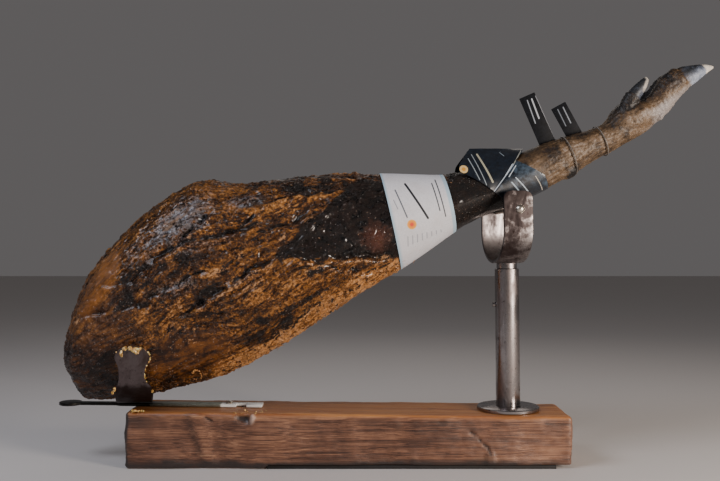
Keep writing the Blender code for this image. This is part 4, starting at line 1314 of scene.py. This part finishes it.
def shape_collar():
    """The folded card: the part that wraps under the shank lies over the upright part."""
    collar = rounded_sleeve("neck_label", "card_collar", 3)
    points = get_points(collar.data)
    x, y, z = points.T
    signed = line_field(x, z, [(196, 353.5), (180.4, 328.5), (150, 287.6)])[0]
    wrap = ease(signed, 0.0, 0.0009) * ease(-y, 0.004, 0.012)
    push_out(collar.data, 0.0006 * wrap + 0.00035 * noise(points / 0.016, 411))
    # wrap marks where the card's painted sheen lies
    paint(collar.data, wrap=wrap * ease(z / MM, 290, 312))
    smooth_by_angle(collar, 30)
    return finish_piece(collar, card_material(), ["neck_label"])


def scatter_fibres(meat):
    """Short frayed strands of dried fat along the lower edge of the labelled side."""
    mesh = meat.data
    points = get_points(mesh)
    normals = get_points(mesh, "normal")
    spread = np.zeros(len(points))
    mesh.attributes["fray"].data.foreach_get("value", spread)
    order = np.random.default_rng(11)
    chosen = order.choice(np.flatnonzero(spread > 0.4), 420)
    corners, faces = [], []
    for index in chosen:
        normal = Vector(normals[index])
        along = Vector((0.86, order.uniform(-0.25, 0.25), 0.51 + order.uniform(-0.5, 0.5)))
        along = (along - normal * along.dot(normal) * 0.8).normalized() * order.choice((-1, 1))
        across = normal.cross(along).normalized()
        length = order.uniform(0.0022, 0.0065)
        thick = order.uniform(0.00020, 0.00048)
        curl = order.uniform(0.1, 0.5) * length
        root = Vector(points[index]) - normal * 0.0003
        first = len(corners)
        for step, girth in ((0.0, 1.0), (0.4, 0.9), (0.75, 0.6), (1.0, 0.15)):
            middle = root + along * length * step + normal * (curl * step * step)
            for sideways, outwards in ((1, 0), (0, 1), (-1, 0), (0, -1)):
                corners.append(middle + (across * sideways + normal * outwards) * thick * girth)
        for ring in range(3):
            for i in range(4):
                at = first + ring * 4
                j = (i + 1) % 4
                faces.append((at + i, at + j, at + 4 + j, at + 4 + i))
        faces.append((first + 3, first + 2, first + 1, first))
        faces.append((first + 12, first + 13, first + 14, first + 15))
    mesh = bpy.data.meshes.new("fat_fibres")
    mesh.from_pydata(corners, [], faces)
    piece = bpy.data.objects.new("fat_fibres", mesh)
    bpy.context.scene.collection.objects.link(piece)
    with edit_mode(piece):
        bpy.ops.mesh.normals_make_consistent(inside=False)
    smooth_by_angle(piece, 60)
    return finish_piece(piece, dried_fat)


# ---------------------------------------------------------------- camera, light and floor

def set_stage():
    """The camera, a plain pale floor, an even grey world and three soft lamps."""
    camera = bpy.data.cameras.new("camera")
    camera.lens = 42.5
    camera.sensor_width = 36.0
    holder = bpy.data.objects.new("camera", camera)
    holder.location = (0.0123, -0.952, 0.237)
    holder.rotation_euler = (math.radians(90.5), 0, 0)
    bpy.context.scene.collection.objects.link(holder)
    bpy.context.scene.camera = holder

    bpy.ops.mesh.primitive_plane_add(size=8.0, location=(0, 2.2, 0))
    floor = bpy.context.active_object
    floor.name = "floor"
    material, _, shader, _ = start_material("pale_studio_floor", Roughness=0.85)
    shader.inputs["Base Color"].default_value = colour("#c9c5c2")
    floor.data.materials.append(material)

    world = bpy.data.worlds.new("studio")
    world.use_nodes = True
    world.node_tree.nodes["Background"].inputs["Color"].default_value = colour("#b9b4b4")
    world.node_tree.nodes["Background"].inputs["Strength"].default_value = 0.24
    bpy.context.scene.world = world

    lights = [
        # name, place, aim, width, height, power, colour
        ("key_right", (0.95, -0.75, 0.30), (0.0, 0.0, 0.18), 0.26, 0.36, 17, "#fff1e4"),
        ("soft_left", (-0.75, -0.55, 0.95), (-0.12, 0, 0.2), 0.6, 0.4, 8, "#eef2ff"),
        ("rim_back", (0.2, 0.9, 0.9), (0.0, 0, 0.25), 0.9, 0.4, 1.0, "#fff4ea"),
    ]
    for name, place, aim, width, height, power, shade in lights:
        lamp = bpy.data.lights.new(name, "AREA")
        lamp.shape = "RECTANGLE"
        lamp.size = width
        lamp.size_y = height
        lamp.energy = power
        lamp.color = colour(shade)[:3]
        stand = bpy.data.objects.new(name, lamp)
        stand.location = place
        stand.rotation_euler = (Vector(aim) - Vector(place)).to_track_quat("-Z", "Y").to_euler()
        bpy.context.scene.collection.objects.link(stand)


# ---------------------------------------------------------------- build

set_stage()
rendered_fat = fat_material()
dried_fat = plain_material("dried_fat_fibre", "#7c4c22", 0.35, "#c58f52", 2, Specular_IOR_Level=0.5)
worn_steel = steel_material("worn_stainless_steel", "#9f9998", "#5d4f4b", 0.50)
fork_steel = steel_material("smeared_stainless_steel", "#96908f", "#5b5152", 0.44, 0.36)
bolt_steel = steel_material("rubbed_bolt_steel", "#d3cbbd", "#8a7f72", 0.55, 0.34)
dull_steel = steel_material("greasy_stainless_steel", "#6f6463", "#35251f", 0.46, 0.30)
seal_plastic = tag_material()
seal_wire = plain_material("grey_seal_wire", "#57514b", 0.45, "#7d766e")
rubber = plain_material("black_rubber_strip", "#141212", 0.8, "#1e1b1a")

meat = shape_meat()
scatter_fibres(meat)
scatter_crumbs(meat)
shape_shank()
shape_band()
shape_collar()
shape_tag("tag_long", "seal_tag_long", seal_plastic, 0.0045)
shape_tag("tag_short", "seal_tag_short", seal_plastic, 0.0035)
refined("seal_strap_1", "strap_wire_1", seal_wire, smooth=80, shrink=0.0003)
refined("seal_strap_2", "strap_wire_2", seal_wire, smooth=80, shrink=0.0003)
shape_fork(fork_steel)
refined("cross_bolt", "bolt", bolt_steel, lean=True, lift=BOLT_LIFT)
refined("post", "post_tube", worn_steel, bevel=0.0004, angle=60, lean=True)
refined("flange", "post_flange", worn_steel, bevel=0.0004, angle=60)
refined("fork_stem", "stem", worn_steel, lean=True)
refined("set_screw", "lock_screw", worn_steel, lean=True)
shape_cradle(dull_steel)
shape_bar(bar_material())
refined("bar_screw", "dome_screw", bolt_steel)
shape_beam()
refined("base_pad", "rubber_pad", rubber, bevel=0.0006)
